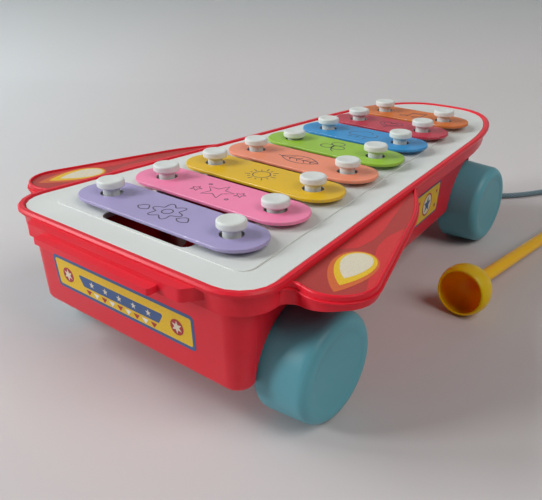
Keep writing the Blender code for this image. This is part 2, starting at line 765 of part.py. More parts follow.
def make_pegs():
    """Sixteen capped pegs, snapped into the deck from above."""
    cap_top = CAP_BOTTOM + PEG_CAP_HEIGHT
    barb_top = DECK_BOTTOM - GAP
    barb_bottom = barb_top - PEG_BARB_HEIGHT
    profile = (
        (0.0, cap_top),
        (PEG_CAP_RADIUS - PEG_CAP_EDGE, cap_top),
        (PEG_CAP_RADIUS, cap_top - PEG_CAP_EDGE),
        (PEG_CAP_RADIUS, CAP_BOTTOM + PEG_CAP_EDGE / 2),
        (PEG_CAP_RADIUS - PEG_CAP_EDGE / 2, CAP_BOTTOM),
        (PEG_NECK_RADIUS, CAP_BOTTOM),
        (PEG_NECK_RADIUS, barb_top),
        (PEG_NECK_RADIUS + PEG_BARB_OVERHANG, barb_top),
        (PEG_NECK_RADIUS - PEG_BARB_OVERHANG, barb_bottom),
        (0.0, barb_bottom),
    )
    mesh = turned_mesh("peg", profile)
    for index, colour in enumerate(BAR_NOTES):
        for side, sign in (("left", -1), ("right", 1)):
            peg = turned(f"peg_{colour}_{side}", mesh, PEG_STEPS, "white", TOY)
            peg.location = (sign * peg_x(colour), bar_y(index), -LOW_PEGS.get((colour, side), 0.0))


def make_wheels():
    """Two axles, each with a pair of closed-faced wheels that are hollow on the inside."""
    face = WHEEL_WIDTH
    disc = face - WHEEL_WALL
    bore_end = disc
    outer, outer_edge = WHEEL_RADIUS - WHEEL_DRAFT, WHEEL_OUTER_EDGE
    outer_flank = outer_edge * (1 - math.sqrt(0.5))
    edge = WHEEL_EDGE
    flank = edge * (1 - math.sqrt(0.5))
    hub_end = END_PLAY
    profile = (
        (0.0, face - WHEEL_FACE_RING / 8),
        (outer - outer_edge - WHEEL_FACE_RING, face - WHEEL_FACE_RING / 8),
        (outer - outer_edge, face),
        (outer - outer_flank, face - outer_flank),
        (outer, face - outer_edge),
        (WHEEL_RADIUS, edge),
        (WHEEL_RADIUS - flank, flank),
        (WHEEL_RADIUS - edge, 0.0),
        (WHEEL_RADIUS - edge - WHEEL_WALL, 0.0),
        (WHEEL_RADIUS - edge - WHEEL_WALL, disc - WHEEL_WALL),
        (WHEEL_HUB_RADIUS, disc - WHEEL_WALL),
        (WHEEL_HUB_RADIUS, hub_end),
        (AXLE_RADIUS + GAP, hub_end),
        (AXLE_RADIUS + GAP, bore_end),
        (0.0, bore_end),
    )
    mesh = turned_mesh("wheel", profile)
    for end, y, sink, slide in AXLES:
        start = wheel_inner(y, sink)
        reach = start + bore_end - GAP
        ends = ((slide - reach, y, AXLE_Z), (slide + reach, y, AXLE_Z))
        axle = rod(f"{end}_axle", AXLE_RADIUS, ends, colour="steel")
        for side, sign in (("left", -1), ("right", 1)):
            wheel = turned(f"{end}_wheel_{side}", mesh, WHEEL_STEPS, "teal", TOY)
            wheel.location = (slide + sign * start, y, AXLE_Z)
            wheel.rotation_euler = (0.0, sign * math.pi / 2, 0.0)
        axle.rotation_euler.rotate_axis("Z", math.pi / WHEEL_STEPS)


def make_screws():
    """Six pan-head screws up through the tub's wells into the deck's posts."""
    seat = screw_seat() - GAP
    head = seat - SCREW_HEAD_HEIGHT
    tip = seat + SCREW_LENGTH
    profile = (
        (0.0, tip),
        (SCREW_SHANK_RADIUS, tip - SCREW_SHANK_RADIUS),
        (SCREW_SHANK_RADIUS, seat),
        (SCREW_HEAD_RADIUS, seat),
        (SCREW_HEAD_RADIUS, seat - SCREW_HEAD_HEIGHT / 2),
        (SCREW_HEAD_RADIUS - SCREW_HEAD_HEIGHT / 2, head),
        (0.0, head),
    )
    mesh = turned_mesh("screw", profile)
    for number, (x, y) in enumerate(post_places(), 1):
        screw = turned(f"screw_{number}", mesh, SCREW_STEPS, "steel", TOY)
        screw.location = (x, y, 0.0)


def make_mallet():
    """One moulding: a hollow round head that flows into a straight stick."""
    inner = MALLET_HEAD_RADIUS - MALLET_WALL
    profile = [(0.0, MALLET_STICK_END), (MALLET_STICK_RADIUS * 0.7, MALLET_STICK_END - MALLET_STICK_RADIUS * 0.3)]
    profile.append((MALLET_STICK_RADIUS, MALLET_STICK_END - MALLET_STICK_RADIUS))
    neck = math.sqrt(MALLET_HEAD_RADIUS ** 2 - MALLET_NECK_RADIUS ** 2)
    profile.append((MALLET_STICK_RADIUS, neck + MALLET_NECK_LENGTH))
    middle = (MALLET_STICK_RADIUS * 3 + MALLET_NECK_RADIUS) / 4
    profile.append((middle, neck + MALLET_NECK_LENGTH / 3))
    first = math.asin(MALLET_NECK_RADIUS / MALLET_HEAD_RADIUS)
    last = math.pi - math.acos(MALLET_MOUTH / MALLET_HEAD_RADIUS)
    for step in range(9):
        angle = first + (last - first) * step / 8
        profile.append((MALLET_HEAD_RADIUS * math.sin(angle), MALLET_HEAD_RADIUS * math.cos(angle)))
    last = math.pi - math.acos(MALLET_MOUTH / inner)
    for step in range(6):
        angle = last * (1 - step / 5)
        profile.append((inner * math.sin(angle), inner * math.cos(angle)))
    mallet = turned("mallet", turned_mesh("mallet", profile), MALLET_STEPS, "yellow_plastic", TOY)
    droop = math.asin((MALLET_HEAD_RADIUS - MALLET_STICK_RADIUS) / (MALLET_STICK_END - MALLET_STICK_RADIUS))
    mallet.location = (MALLET_X, MALLET_Y, MALLET_HEAD_RADIUS)
    mallet.rotation_euler = (-math.pi / 2 - droop, 0.0, -MALLET_TURN)


def smooth_path(route, spacing):
    """Points about spacing apart on a smooth curve through the route's own points."""
    points = [Vector(p) for p in route]
    padded = [2 * points[0] - points[1], *points, 2 * points[-1] - points[-2]]
    path = []
    for a, b, c, d in zip(padded, padded[1:], padded[2:], padded[3:]):
        count = max(1, round((c - b).length / spacing))
        for step in range(count):
            t = step / count
            path.append(0.5 * (2 * b + (c - a) * t + (2 * a - 5 * b + 4 * c - d) * t * t
                               + (3 * b - a - 3 * c + d) * t ** 3))
    path.append(points[-1])
    return path


def coil_y():
    """Where the coil's middle lies along the toy."""
    return nose_wall()[1] + COIL_BEYOND


def coil_points():
    """One unbroken tube: in along the lower layer, up at the middle, out along the upper, down at the end."""
    low = CORD_RADIUS + TIE_THICKNESS + GAP
    centre_y = coil_y()
    top_end = 2 * COIL_TURNS
    total = top_end + COIL_EXIT_TURN
    inner = COIL_RADIUS - COIL_STEP * COIL_TURNS / 2
    count = round(total * COIL_LOOP_POINTS)
    points = []
    for index in range(count + 1):
        turn = total * index / count
        share = min(max((turn - COIL_TURNS) / COIL_CLIMB_TURN + 0.5, 0.0), 1.0)
        radius = inner + COIL_STEP * abs(turn - COIL_TURNS)
        z = low + COIL_STEP * share * share * (3 - 2 * share)
        if turn > top_end:
            roll = math.pi / 2 * (turn - top_end) / COIL_EXIT_TURN
            radius = inner + COIL_STEP * (COIL_TURNS + math.sin(roll))
            z = low + COIL_STEP * math.cos(roll)
        angle = math.pi - 2 * math.pi * turn
        points.append(Vector((
            COIL_X + radius * math.cos(angle), centre_y + radius * math.sin(angle), z,
        )))
    lead = Vector((0.0, -2 * CORD_RADIUS, 0.0))
    tail = (points[-1] - points[-2]).normalized() * 2 * CORD_RADIUS
    return [points[0] + lead, *points, points[-1] + tail]


def least_gap(points, radius):
    """Least clear distance between turns of a tube, measured on points more than half a loop apart."""
    skip = COIL_LOOP_POINTS // 2
    apart = (
        (p - q).length for index, p in enumerate(points) for q in points[index + skip:]
    )
    return min(apart) - 2 * radius


def tube(name, points, resolution):
    """Cord along points, with closed ends."""
    curve = bpy.data.curves.new(name, "CURVE")
    curve.dimensions = "3D"
    curve.bevel_depth = CORD_RADIUS
    curve.bevel_resolution = resolution
    curve.use_fill_caps = True
    spline = curve.splines.new("POLY")
    spline.points.add(len(points) - 1)
    for slot, point in zip(spline.points, points):
        slot.co = (*point, 1.0)
    return place(name, curve, TOY, "cord")


def knot(name, centre):
    """Tight knot, drawn as the lump that it makes."""
    shape = bmesh.new()
    bmesh.ops.create_uvsphere(shape, u_segments=12, v_segments=8, radius=KNOT_RADIUS)
    mesh = bpy.data.meshes.new(name)
    shape.to_mesh(mesh)
    shape.free()
    smooth(mesh)
    thing = place(name, mesh, TOY, "cord")
    thing.location = centre


def make_cord():
    """Pull cord from its knot behind the nose wall to the coil that holds its spare length."""
    inside, outside = nose_wall()
    coil = coil_points()
    join = coil[0] + Vector((0.0, -GAP, 0.0))
    straight = join + Vector((0.0, -2 * CORD_RADIUS, 0.0))
    beyond = [(x, outside + y, z) for x, y, z in CORD_ROUTE]
    route = [(0.0, inside, CORD_HEIGHT), *beyond, straight, join]
    tube("pull_cord", smooth_path(route, 4.5 * CORD_RADIUS), 2)
    tube("cord_coil", coil, 1)
    print(f"cord coil: least gap to itself {least_gap(coil, CORD_RADIUS) * 1000:.2f} mm")
    knot("inner_knot", (0.0, inside - GAP - KNOT_RADIUS, CORD_HEIGHT))
    onward = (coil[-1] - coil[-2]).normalized()
    end = coil[-1] + onward * (GAP + KNOT_RADIUS)
    knot("end_knot", (end.x, end.y, max(end.z, KNOT_RADIUS)))
    make_tie()


def make_tie():
    """Flat band round the coil's turns, on the side away from the toy."""
    half = COIL_STEP * COIL_TURNS / 2 + CORD_RADIUS + GAP
    height = COIL_STEP / 2 + CORD_RADIUS + GAP
    wall = TIE_THICKNESS
    inside = [(-half, -height, CORD_RADIUS), (half, -height, CORD_RADIUS),
              (half, height, CORD_RADIUS), (-half, height, CORD_RADIUS)]
    outside = drawn_in(inside, -wall)
    band = plate("coil_tie", [rounded(outside), rounded(inside)], -TIE_WIDTH / 2, TIE_WIDTH / 2, "cord")
    band.location = (COIL_X + COIL_RADIUS, coil_y(), height + wall)
    band.rotation_euler = (math.pi / 2, 0.0, 0.0)


def make_datum():
    """Empty that carries the toy's frame, so that toy and mallet stand centred over the origin."""
    wing_reach = max(x for x, _ in rounded(wing_corners()))
    datum = bpy.data.objects.new("toy_datum", None)
    bpy.context.scene.collection.objects.link(datum)
    datum.location.x = (wing_reach - max(wing_reach, MALLET_X + MALLET_HEAD_RADIUS)) / 2
    datum.location.y = (STEP_FRONT - RIM_LENGTH) / 2
    return datum


def main():
    """Builds every piece of the toy."""
    make_upper_frame()
    make_tub()
    make_deck()
    make_bars()
    make_pegs()
    make_wheels()
    make_screws()
    make_mallet()
    make_cord()


clear_scene()
PARTS = new_collection("toy_metallophone")
TOOLS = new_collection("tools")
TOY = make_datum()
main()
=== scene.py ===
"""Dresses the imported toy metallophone: its mouldings, bars, prints, pegs, wheels, mallet and cord.

Lengths are in metres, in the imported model's own frame. The toy's own plan is measured from its tail rim,
so TOY_X and TOY_Y carry that datum into the frame.
"""

import math

import bmesh
import bpy
from mathutils import Matrix, Vector


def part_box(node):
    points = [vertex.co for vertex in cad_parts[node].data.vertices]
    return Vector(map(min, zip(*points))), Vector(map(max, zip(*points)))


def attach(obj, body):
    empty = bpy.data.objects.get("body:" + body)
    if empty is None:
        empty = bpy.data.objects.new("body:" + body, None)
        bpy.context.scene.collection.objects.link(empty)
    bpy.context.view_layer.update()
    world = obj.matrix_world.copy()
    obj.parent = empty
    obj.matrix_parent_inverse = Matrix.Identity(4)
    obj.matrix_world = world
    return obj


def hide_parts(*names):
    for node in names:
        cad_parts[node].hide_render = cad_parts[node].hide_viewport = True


bl_info = {
    "name": "Toy metallophone",
    "version": (1, 0, 0),
    "blender": (4, 5, 0),
    "location": "View3D > Sidebar > Toy",
    "description": "Dresses a pull-along toy metallophone and sets its stage",
    "category": "Object",
}

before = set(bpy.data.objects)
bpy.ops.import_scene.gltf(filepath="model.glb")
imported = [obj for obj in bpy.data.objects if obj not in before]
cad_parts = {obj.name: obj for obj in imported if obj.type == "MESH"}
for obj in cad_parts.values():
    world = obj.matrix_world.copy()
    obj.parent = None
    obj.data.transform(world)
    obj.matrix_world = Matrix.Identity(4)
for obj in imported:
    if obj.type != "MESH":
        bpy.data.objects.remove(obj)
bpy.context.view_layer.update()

BARS = ("purple", "pink", "yellow", "salmon", "green", "blue", "crimson", "orange")
PEGS = [f"peg_{bar}_{side}" for bar in BARS for side in ("left", "right")]
FRAME_LOW, FRAME_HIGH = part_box("upper_frame")
RIM_LENGTH = 0.3083
RIM_HALF_TAIL = 0.0750
RIM_TOP = FRAME_HIGH[2]
TOY_X = (FRAME_LOW[0] + FRAME_HIGH[0]) / 2
TOY_Y = FRAME_HIGH[1] - RIM_LENGTH
SIDE_TAPER = math.radians(5.66)
BEAD_BOTTOM = RIM_TOP - 0.0020
SKIRT_BOTTOM = RIM_TOP - 0.0108
# The tub's top and bottom, how far its walls stand in from the rim at the top, and their lean to the bottom.
TUB_HEIGHTS = (0.06495, 0.02285)
TUB_SIDE_IN = 0.0084
TUB_TAIL_IN = 0.0052
TUB_LEAN = 0.0026
# A wing's corners are (distance out from the rim, y from the tail, radius).
WING_TOP = RIM_TOP - 0.0013
WING_BASE = WING_TOP - 0.0060
WING_PANEL = WING_TOP - 0.0010
WING_LIP = 0.0021
WING_SINK = 0.0032
WING_FILLET = 0.0040
WING_TAIL_Y = 0.0253
WING_TIP = (0.0357, 0.0070, 0.0166)
WING_SHOULDER = (0.0128, 0.1160, 0.1200)
WING_SLOPE = 2.0625
# Radii of a wheel's tread at the face and at the back, and the roundings there.
WHEEL_RADII = (0.0240, 0.0250)
WHEEL_EDGES = (0.0046, 0.0034)
MM = 0.001


def colour_field(name, words, default):
    """A colour that a user would change."""
    return bpy.props.FloatVectorProperty(
        name=name, description=words, subtype="COLOR", size=3, min=0.0, max=1.0, default=default,
    )


def length_field(name, words, default):
    """A length that a user would change."""
    return bpy.props.FloatProperty(
        name=name, description=words, subtype="DISTANCE", unit="LENGTH", min=0.0, precision=5,
        default=default,
    )


class ToyBody(bpy.types.PropertyGroup):
    """Finishes of the mouldings."""

    red: colour_field("Body red", "Colour of the frame and the tub", (0.76, 0.016, 0.034))
    white: colour_field("Deck white", "Colour of the deck and the pegs", (0.70, 0.73, 0.70))
    teal: colour_field("Wheel teal", "Colour of the wheels", (0.115, 0.370, 0.440))
    yellow: colour_field("Mallet yellow", "Colour of the mallet", (0.98, 0.485, 0.003))
    edge: length_field("Edge rounding", "Rounding of the mouldings' edges", 0.0005)


class ToyBars(bpy.types.PropertyGroup):
    """Enamel colours of the bars and the ink on them."""

    purple: colour_field("Purple", "First bar's enamel", (0.400, 0.345, 0.600))
    pink: colour_field("Pink", "Second bar's enamel", (0.960, 0.245, 0.440))
    yellow: colour_field("Yellow", "Third bar's enamel", (0.800, 0.490, 0.006))
    salmon: colour_field("Salmon", "Fourth bar's enamel", (0.900, 0.290, 0.165))
    green: colour_field("Green", "Fifth bar's enamel", (0.320, 0.560, 0.040))
    blue: colour_field("Blue", "Sixth bar's enamel", (0.032, 0.290, 0.620))
    crimson: colour_field("Crimson", "Seventh bar's enamel", (0.530, 0.034, 0.066))
    orange: colour_field("Orange", "Eighth bar's enamel", (0.680, 0.170, 0.025))
    ink: colour_field("Ink", "Colour of the line drawings", (0.045, 0.035, 0.050))
    line: length_field("Line width", "Width of the drawn lines", 0.00052)
    drawing: bpy.props.FloatProperty(
        name="Drawing size", description="Share of the drawings' own size", min=0.5, max=1.6, default=1.30,
    )
    edge: length_field("Edge rounding", "Rounding of the bars' edges", 0.00035)


class ToyCord(bpy.types.PropertyGroup):
    """The pull cord."""

    colour: colour_field("Cord colour", "Colour of the plaited cord", (0.150, 0.235, 0.275))
    diameter: length_field("Diameter", "The cord's thickness", 0.0038)


class ToyStage(bpy.types.PropertyGroup):
    """Camera, floor and light."""

    floor: colour_field("Floor", "Colour of the floor", (0.60, 0.570, 0.568))
    # The floor's left colour is painted light: a lighter, cooler floor where the key's light falls.
    left: colour_field("Floor's left", "Colour of the floor far to the left", (0.665, 0.690, 0.695))
    wall: colour_field("Wall", "Colour of the wall behind the toy", (0.405, 0.425, 0.428))
    lens: bpy.props.FloatProperty(
        name="Lens", description="Focal length", subtype="DISTANCE_CAMERA", unit="CAMERA", default=43.82,
    )
    key: bpy.props.FloatProperty(
        name="Key light", description="Power of the large lamp on the left", subtype="POWER", unit="POWER",
        default=74.0,
    )


class Signal:
    """A shader socket. Arithmetic adds Math nodes, and node() adds any other node to the same tree."""

    def __init__(self, tree, socket=None):
        self.tree = tree
        self.socket = socket

    def node(self, kind, settings, sockets, output=0):
        """Adds a node: settings first, then values or links for its sockets; gives one of its outputs."""
        made = self.tree.nodes.new(kind)
        for key, value in settings.items():
            setattr(made, key, value)
        for key, value in sockets.items():
            socket = made.inputs[key] if isinstance(key, int) else self._named(made, key)
            if isinstance(value, Signal):
                self.tree.links.new(value.socket, socket)
            else:
                socket.default_value = value
        return Signal(self.tree, made.outputs[output])

    @staticmethod
    def _named(made, key):
        """An input by its identifier, or else by its name."""
        for socket in made.inputs:
            if socket.identifier == key:
                return socket
        return made.inputs[key]

    def math(self, operation, *values):
        """A Math node on these values."""
        return self.node("ShaderNodeMath", {"operation": operation}, dict(enumerate(values)))

    def __add__(self, other):
        return self.math("ADD", self, other)

    def __radd__(self, other):
        return self.math("ADD", other, self)

    def __sub__(self, other):
        return self.math("SUBTRACT", self, other)

    def __rsub__(self, other):
        return self.math("SUBTRACT", other, self)

    def __mul__(self, other):
        return self.math("MULTIPLY", self, other)

    def __truediv__(self, other):
        return self.math("DIVIDE", self, other)

    def rise(self, low, high):
        """0 up to low, 1 from high on, by a colour ramp."""
        grey = self.node("ShaderNodeValToRGB", {}, {"Fac": self})
        for element, position in zip(grey.socket.node.color_ramp.elements, (low, high)):
            element.position = position
        return grey

    def mix(self, low, high):
        """Colour between low, where this value is 0, and high, where it is 1."""
        settings = {"data_type": "RGBA", "blend_type": "MIX"}
        low = (*low, 1.0) if isinstance(low, (tuple, list)) else low
        high = (*high, 1.0) if isinstance(high, (tuple, list)) else high
        sockets = {"Factor_Float": self, "A_Color": low, "B_Color": high}
        return self.node("ShaderNodeMix", settings, sockets, 2)

    def bump(self, strength, distance):
        """A normal raised by this value."""
        return self.node("ShaderNodeBump", {}, {"Strength": strength, "Distance": distance, "Height": self})


def shaded(colour, share):
    """A colour made darker, or lighter where share is over 1."""
    return tuple(min(channel * share, 1.0) for channel in colour)


def new_finish(name):
    """An empty material, a Signal on its tree, its Principled shader, and object coordinates in metres."""
    material = bpy.data.materials.new(name)
    material.use_nodes = True
    shader = material.node_tree.nodes["Principled BSDF"]
    tree = Signal(material.node_tree)
    return material, tree, shader, tree.node("ShaderNodeTexCoord", {}, {}, 3)


def feed(tree, shader, **signals):
    """Links signals to the shader's sockets, whose names have underscores for spaces here."""
    for key, signal in signals.items():
        tree.tree.links.new(signal.socket, shader.inputs[key.replace("_", " ")])


def fix(shader, **values):
    """Sets constants on the shader's own sockets, named as in feed."""
    for key, value in values.items():
        shader.inputs[key.replace("_", " ")].default_value = value


def attribute(tree, name):
    """A number that is kept on the mesh."""
    return tree.node("ShaderNodeAttribute", {"attribute_name": name}, {}, 2)


def part_of(tree, place, index):
    """The x, y or z of a place signal, by its index."""
    return tree.node("ShaderNodeSeparateXYZ", {}, {"Vector": place}, index)


def noise(tree, place, scale, detail=3.0, rough=0.55):
    """Noise on a place signal."""
    sockets = {"Vector": place, "Scale": scale, "Detail": detail, "Roughness": rough}
    return tree.node("ShaderNodeTexNoise", {}, sockets)


def stretched(tree, place, scale, turn=(0.0, 0.0, 0.0)):
    """A place scaled and turned by a Mapping node."""
    return tree.node("ShaderNodeMapping", {}, {"Vector": place, "Scale": scale, "Rotation": turn})


def scratches(tree, place):
    """Fine scratches in two directions, 1 on a scratch."""
    first = noise(tree, stretched(tree, place, (900.0, 24.0, 900.0), (0.0, 0.0, 0.7)), 1.0, 2.0)
    second = noise(tree, stretched(tree, place, (30.0, 1100.0, 700.0), (0.3, 0.0, 0.4)), 1.0, 2.0)
    return first.rise(0.66, 0.72) + second.rise(0.67, 0.73)


def moulded_plastic(name, colour, rough, depth=None, shine=0.30):
    """Moulded plastic: faint flow marks in its colour, a fine skin, play scuffs and uneven gloss.

    Where a piece is marked deep, its colour turns toward the depth colour, a painted glow that stands in for
    light shining through its wall.
    """
    material, tree, shader, place = new_finish(name)
    flow = noise(tree, stretched(tree, place, (14.0, 5.0, 22.0)), 1.0, 4.0)
    scuff = scratches(tree, place)
    dust = noise(tree, place, 55.0, 5.0, 0.7).rise(0.48, 0.80)
    base = flow.rise(0.30, 0.72).mix(shaded(colour, 0.95), shaded(colour, 1.04))
    # Painted glow: the depth colour is the colour that light through the thin wall would give, mixed in where
    # the piece is marked deep.
    if depth:
        base = attribute(tree, "deep").mix(base, depth)
    base = (dust * 0.025).mix(base, (0.62, 0.58, 0.55))
    base = (scuff * 0.010).mix(base, (0.85, 0.80, 0.78))
    gloss = rough + (dust - 0.4) * 0.06 + scuff * 0.05
    surface = noise(tree, place, 1500.0, 2.0) + scuff * -0.08
    feed(tree, shader, Base_Color=base, Roughness=gloss, Normal=surface.bump(0.10, 0.00012))
    fix(shader, Specular_IOR_Level=shine)
    if depth:
        fix(shader, Subsurface_Weight=1.0, Subsurface_Radius=(1.0, 0.50, 0.04), Subsurface_Scale=0.0070)
    return material


def bar_enamel(name, colour):
    """Baked enamel on sheet metal: slight orange peel, rubbed gloss, and chips along the edges."""
    material, tree, shader, place = new_finish(name)
    edge = attribute(tree, "edge")
    wander = noise(tree, place, 900.0, 4.0, 0.7)
    chip = (edge + wander * 0.9 - 1.32).rise(0.0, 0.10)
    peel = noise(tree, place, 420.0, 2.0)
    cloud = noise(tree, place, 38.0, 4.0)
    rub = scratches(tree, place)
    base = cloud.rise(0.30, 0.75).mix(shaded(colour, 0.94), shaded(colour, 1.05))
    base = (edge * 0.30).mix(base, shaded(colour, 0.72))
    base = (rub * 0.10).mix(base, shaded(colour, 1.5))
    base = chip.mix(base, (0.42, 0.42, 0.43))
    gloss = 0.33 + cloud * 0.10 + rub * 0.16 - chip * 0.06
    feed(tree, shader, Base_Color=base, Roughness=gloss, Metallic=chip,
         Normal=(peel - chip * 0.6).bump(0.10, 0.0002))
    fix(shader, Specular_IOR_Level=0.44, Coat_Weight=0.12, Coat_Roughness=0.15)
    return material


def bright_steel():
    """Drawn steel wire with fine lines and a little tarnish."""
    material, tree, shader, place = new_finish("drawn_steel")
    lines = noise(tree, stretched(tree, place, (60.0, 2500.0, 2500.0)), 1.0, 3.0)
    tarnish = noise(tree, place, 120.0, 4.0)
    base = tarnish.rise(0.40, 0.75).mix((0.60, 0.61, 0.63), (0.40, 0.38, 0.36))
    feed(tree, shader, Base_Color=base, Roughness=0.22 + lines * 0.20 + tarnish * 0.10,
         Normal=lines.bump(0.08, 0.0001))
    fix(shader, Metallic=1.0)
    return material


def plaited_cord(colour):
    """Plaited cord: two sets of strands that cross, from the tube's own map of turn and length."""
    material, tree, shader, place = new_finish("plaited_cord")
    strands, crossings = 12 * math.pi, 1700.0
    spot = tree.node("ShaderNodeUVMap", {"uv_map": "cord"}, {})
    turns, run = part_of(tree, spot, 0) * strands, part_of(tree, spot, 1) * crossings
    left = tree.math("SINE", run + turns)
    right = tree.math("SINE", run - turns)
    strand = tree.math("MAXIMUM", left, right) * 0.5 + 0.5
    fuzz = noise(tree, place, 2600.0, 3.0)
    # Painted shade: the strands' height darkens the grooves between them and lightens their crowns, and the
    # fuzz adds random fibre tone.
    base = (strand * 0.7 + fuzz * 0.3).mix(shaded(colour, 0.45), shaded(colour, 1.30))
    feed(tree, shader, Base_Color=base, Roughness=0.80 + fuzz * 0.15,
         Normal=(strand + fuzz * 0.35).bump(0.55, 0.0004))
    fix(shader, Sheen_Weight=0.25)
    return material


def printed_label(name, colour):
    """Ink on a glossy label: faint halftone grain and rubbed spots."""
    material, tree, shader, place = new_finish(name)
    grain = noise(tree, place, 3200.0, 1.0)
    rub = noise(tree, place, 160.0, 5.0, 0.7).rise(0.58, 0.78)
    base = grain.rise(0.35, 0.65).mix(shaded(colour, 0.90), shaded(colour, 1.08))
    base = (rub * 0.05).mix(base, (0.70, 0.66, 0.62))
    feed(tree, shader, Base_Color=base, Roughness=0.40 + rub * 0.20, Normal=grain.bump(0.04, 0.0001))
    fix(shader, Specular_IOR_Level=0.28)
    return material


def drawing_ink(colour):
    """Thin screen-printed ink."""
    material, tree, shader, place = new_finish("drawing_ink")
    wear = noise(tree, place, 700.0, 4.0).rise(0.40, 0.80)
    feed(tree, shader, Base_Color=wear.mix(colour, shaded(colour, 3.2)), Roughness=0.45 + wear * 0.25)
    return material


def add_object(name, data):
    """An object at the origin, in the scene."""
    thing = bpy.data.objects.new(name, data)
    bpy.context.scene.collection.objects.link(thing)
    return thing


def from_bmesh(name, shape, smooth_angle=35.0):
    """Turns a bmesh into an object with smooth rounds and sharp edges."""
    mesh = bpy.data.meshes.new(name)
    shape.to_mesh(mesh)
    shape.free()
    mesh.shade_smooth()
    mesh.set_sharp_from_angle(angle=math.radians(smooth_angle))
    return add_object(name, mesh)


def baked(thing):
    """Applies an object's modifiers, or makes a curve a mesh, and leaves a plain mesh at the origin."""
    graph = bpy.context.evaluated_depsgraph_get()
    mesh = bpy.data.meshes.new_from_object(
        thing.evaluated_get(graph), preserve_all_data_layers=True, depsgraph=graph,
    )
    mesh.transform(thing.matrix_world)
    name = thing.name
    bpy.data.objects.remove(thing, do_unlink=True)
    mesh.name = name
    return add_object(name, mesh)


def dress(thing, body, *materials):
    """Gives a piece its finishes and lets it ride on its body."""
    thing.data.materials.clear()
    for material in materials:
        thing.data.materials.append(material)
    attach(thing, body)
    return thing


def in_frame(points):
    """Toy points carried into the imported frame."""
    datum = Vector((TOY_X, TOY_Y, 0.0))
    return [Vector(p) + datum for p in points]


def corners_of(node):
    """Lowest and highest corners of a CAD node."""
    return [Vector(corner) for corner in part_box(node)]


def middle(node):
    """Middle of a CAD node's box."""
    low, high = corners_of(node)
    return (low + high) / 2


def welded_copy(name, node):
    """A copy of a CAD node with its loose triangles joined."""
    shape = bmesh.new()
    shape.from_mesh(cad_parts[node].data)
    bmesh.ops.remove_doubles(shape, verts=shape.verts, dist=2e-6)
    return from_bmesh(name, shape, 40.0)


def cut_by(thing, cutter):
    """Takes a cutter's volume out of an object; the cutter goes."""
    cut = thing.modifiers.new("cut", "BOOLEAN")
    cut.operation = "DIFFERENCE"
    cut.object = cutter
    cut.use_self = True
    thing = baked(thing)
    bpy.data.objects.remove(cutter, do_unlink=True)
    return thing


def softened(thing, edge):
    """The object with its flats joined and its edges rounded."""
    shape = bmesh.new()
    shape.from_mesh(thing.data)
    bmesh.ops.dissolve_limit(
        shape, angle_limit=math.radians(0.5), verts=shape.verts, edges=shape.edges, delimit=set(),
    )
    name = thing.name
    bpy.data.objects.remove(thing, do_unlink=True)
    thing = from_bmesh(name, shape, 40.0)
    bevel = thing.modifiers.new("edges", "BEVEL")
    bevel.limit_method = "ANGLE"
    bevel.angle_limit = math.radians(38.0)
    bevel.width = edge
    bevel.segments = 2
    bevel.use_clamp_overlap = True
    bevel.harden_normals = True
    return baked(thing)


def arc(radius, first, last, steps, centre=(0.0, 0.0)):
    """Points on an arc, in degrees from +x."""
    points = []
    for step in range(steps + 1):
        angle = math.radians(first + (last - first) * step / steps)
        points.append((centre[0] + radius * math.cos(angle), centre[1] + radius * math.sin(angle)))
    return points


def skin(shape, rings):
    """Faces between neighbouring rings of vertices, where a ring of one vertex is a pole."""
    faces = []
    for first, second in zip(rings, rings[1:]):
        count = max(len(first), len(second))
        for index in range(count):
            beside = (index + 1) % count
            corners = (first[index % len(first)], first[beside % len(first)],
                       second[beside % len(second)], second[index % len(second)])
            faces.append(shape.faces.new(tuple(dict.fromkeys(corners))))
    return faces


def lathe(name, profile, steps):
    """Turns a profile of (radius, height) points, from one pole to the other, about z."""
    shape = bmesh.new()
    rings = []
    for radius, height in profile:
        if radius < 1e-7:
            rings.append([shape.verts.new((0.0, 0.0, height))])
            continue
        circle = arc(radius, 0.0, 360.0, steps)[:-1]
        rings.append([shape.verts.new((x, y, height)) for x, y in circle])
    skin(shape, rings)
    bmesh.ops.recalc_face_normals(shape, faces=shape.faces)
    return from_bmesh(name, shape, 42.0)


def plan_half(y, side):
    """Half the body's width on its straight sides, at y from the tail, drawn in from the rim."""
    return RIM_HALF_TAIL - side / math.cos(SIDE_TAPER) - math.tan(SIDE_TAPER) * y


def rounded(corners, steps=10):
    """Outline through corners given as (x, y, radius), each corner rounded by an arc."""
    outline = []
    for index, (x, y, radius) in enumerate(corners):
        here = Vector((x, y))
        back = (Vector(corners[index - 1][:2]) - here).normalized()
        ahead = (Vector(corners[(index + 1) % len(corners)][:2]) - here).normalized()
        if radius <= 0:
            outline.append((x, y))
            continue
        half = back.angle(ahead) / 2
        centre = here + (back + ahead).normalized() * radius / math.sin(half)
        first = here + back * radius / math.tan(half) - centre
        last = here + ahead * radius / math.tan(half) - centre
        turn = first.angle_signed(last)
        for step in range(steps + 1):
            spoke = first.copy()
            spoke.rotate(Matrix.Rotation(-turn * step / steps, 2))
            outline.append(tuple(centre + spoke))
    return outline


def panel(wide, half, radius, steps=10):
    """A rounded rectangle, by half its width and half its height."""
    signs = ((-1, -1), (1, -1), (1, 1), (-1, 1))
    return rounded([(wide * x, half * y, radius) for x, y in signs], steps)


def drawn_in(corners, distance):
    """Moves every edge of an anticlockwise outline inwards, and its corner radii with it."""
    lines = []
    for (x0, y0, _), (x1, y1, _) in zip(corners, corners[1:] + corners[:1]):
        along = (Vector((x1, y1)) - Vector((x0, y0))).normalized()
        lines.append((Vector((x0, y0)) + Vector((-along.y, along.x)) * distance, along))
    result = []
    for index, (_, _, radius) in enumerate(corners):
        (p, u), (q, v) = lines[index - 1], lines[index]
        turn = u.cross(v)
        point = p + u * ((q - p).cross(v) / turn)
        result.append((point.x, point.y, max(radius - math.copysign(distance, turn), 0.0004)))
    return result


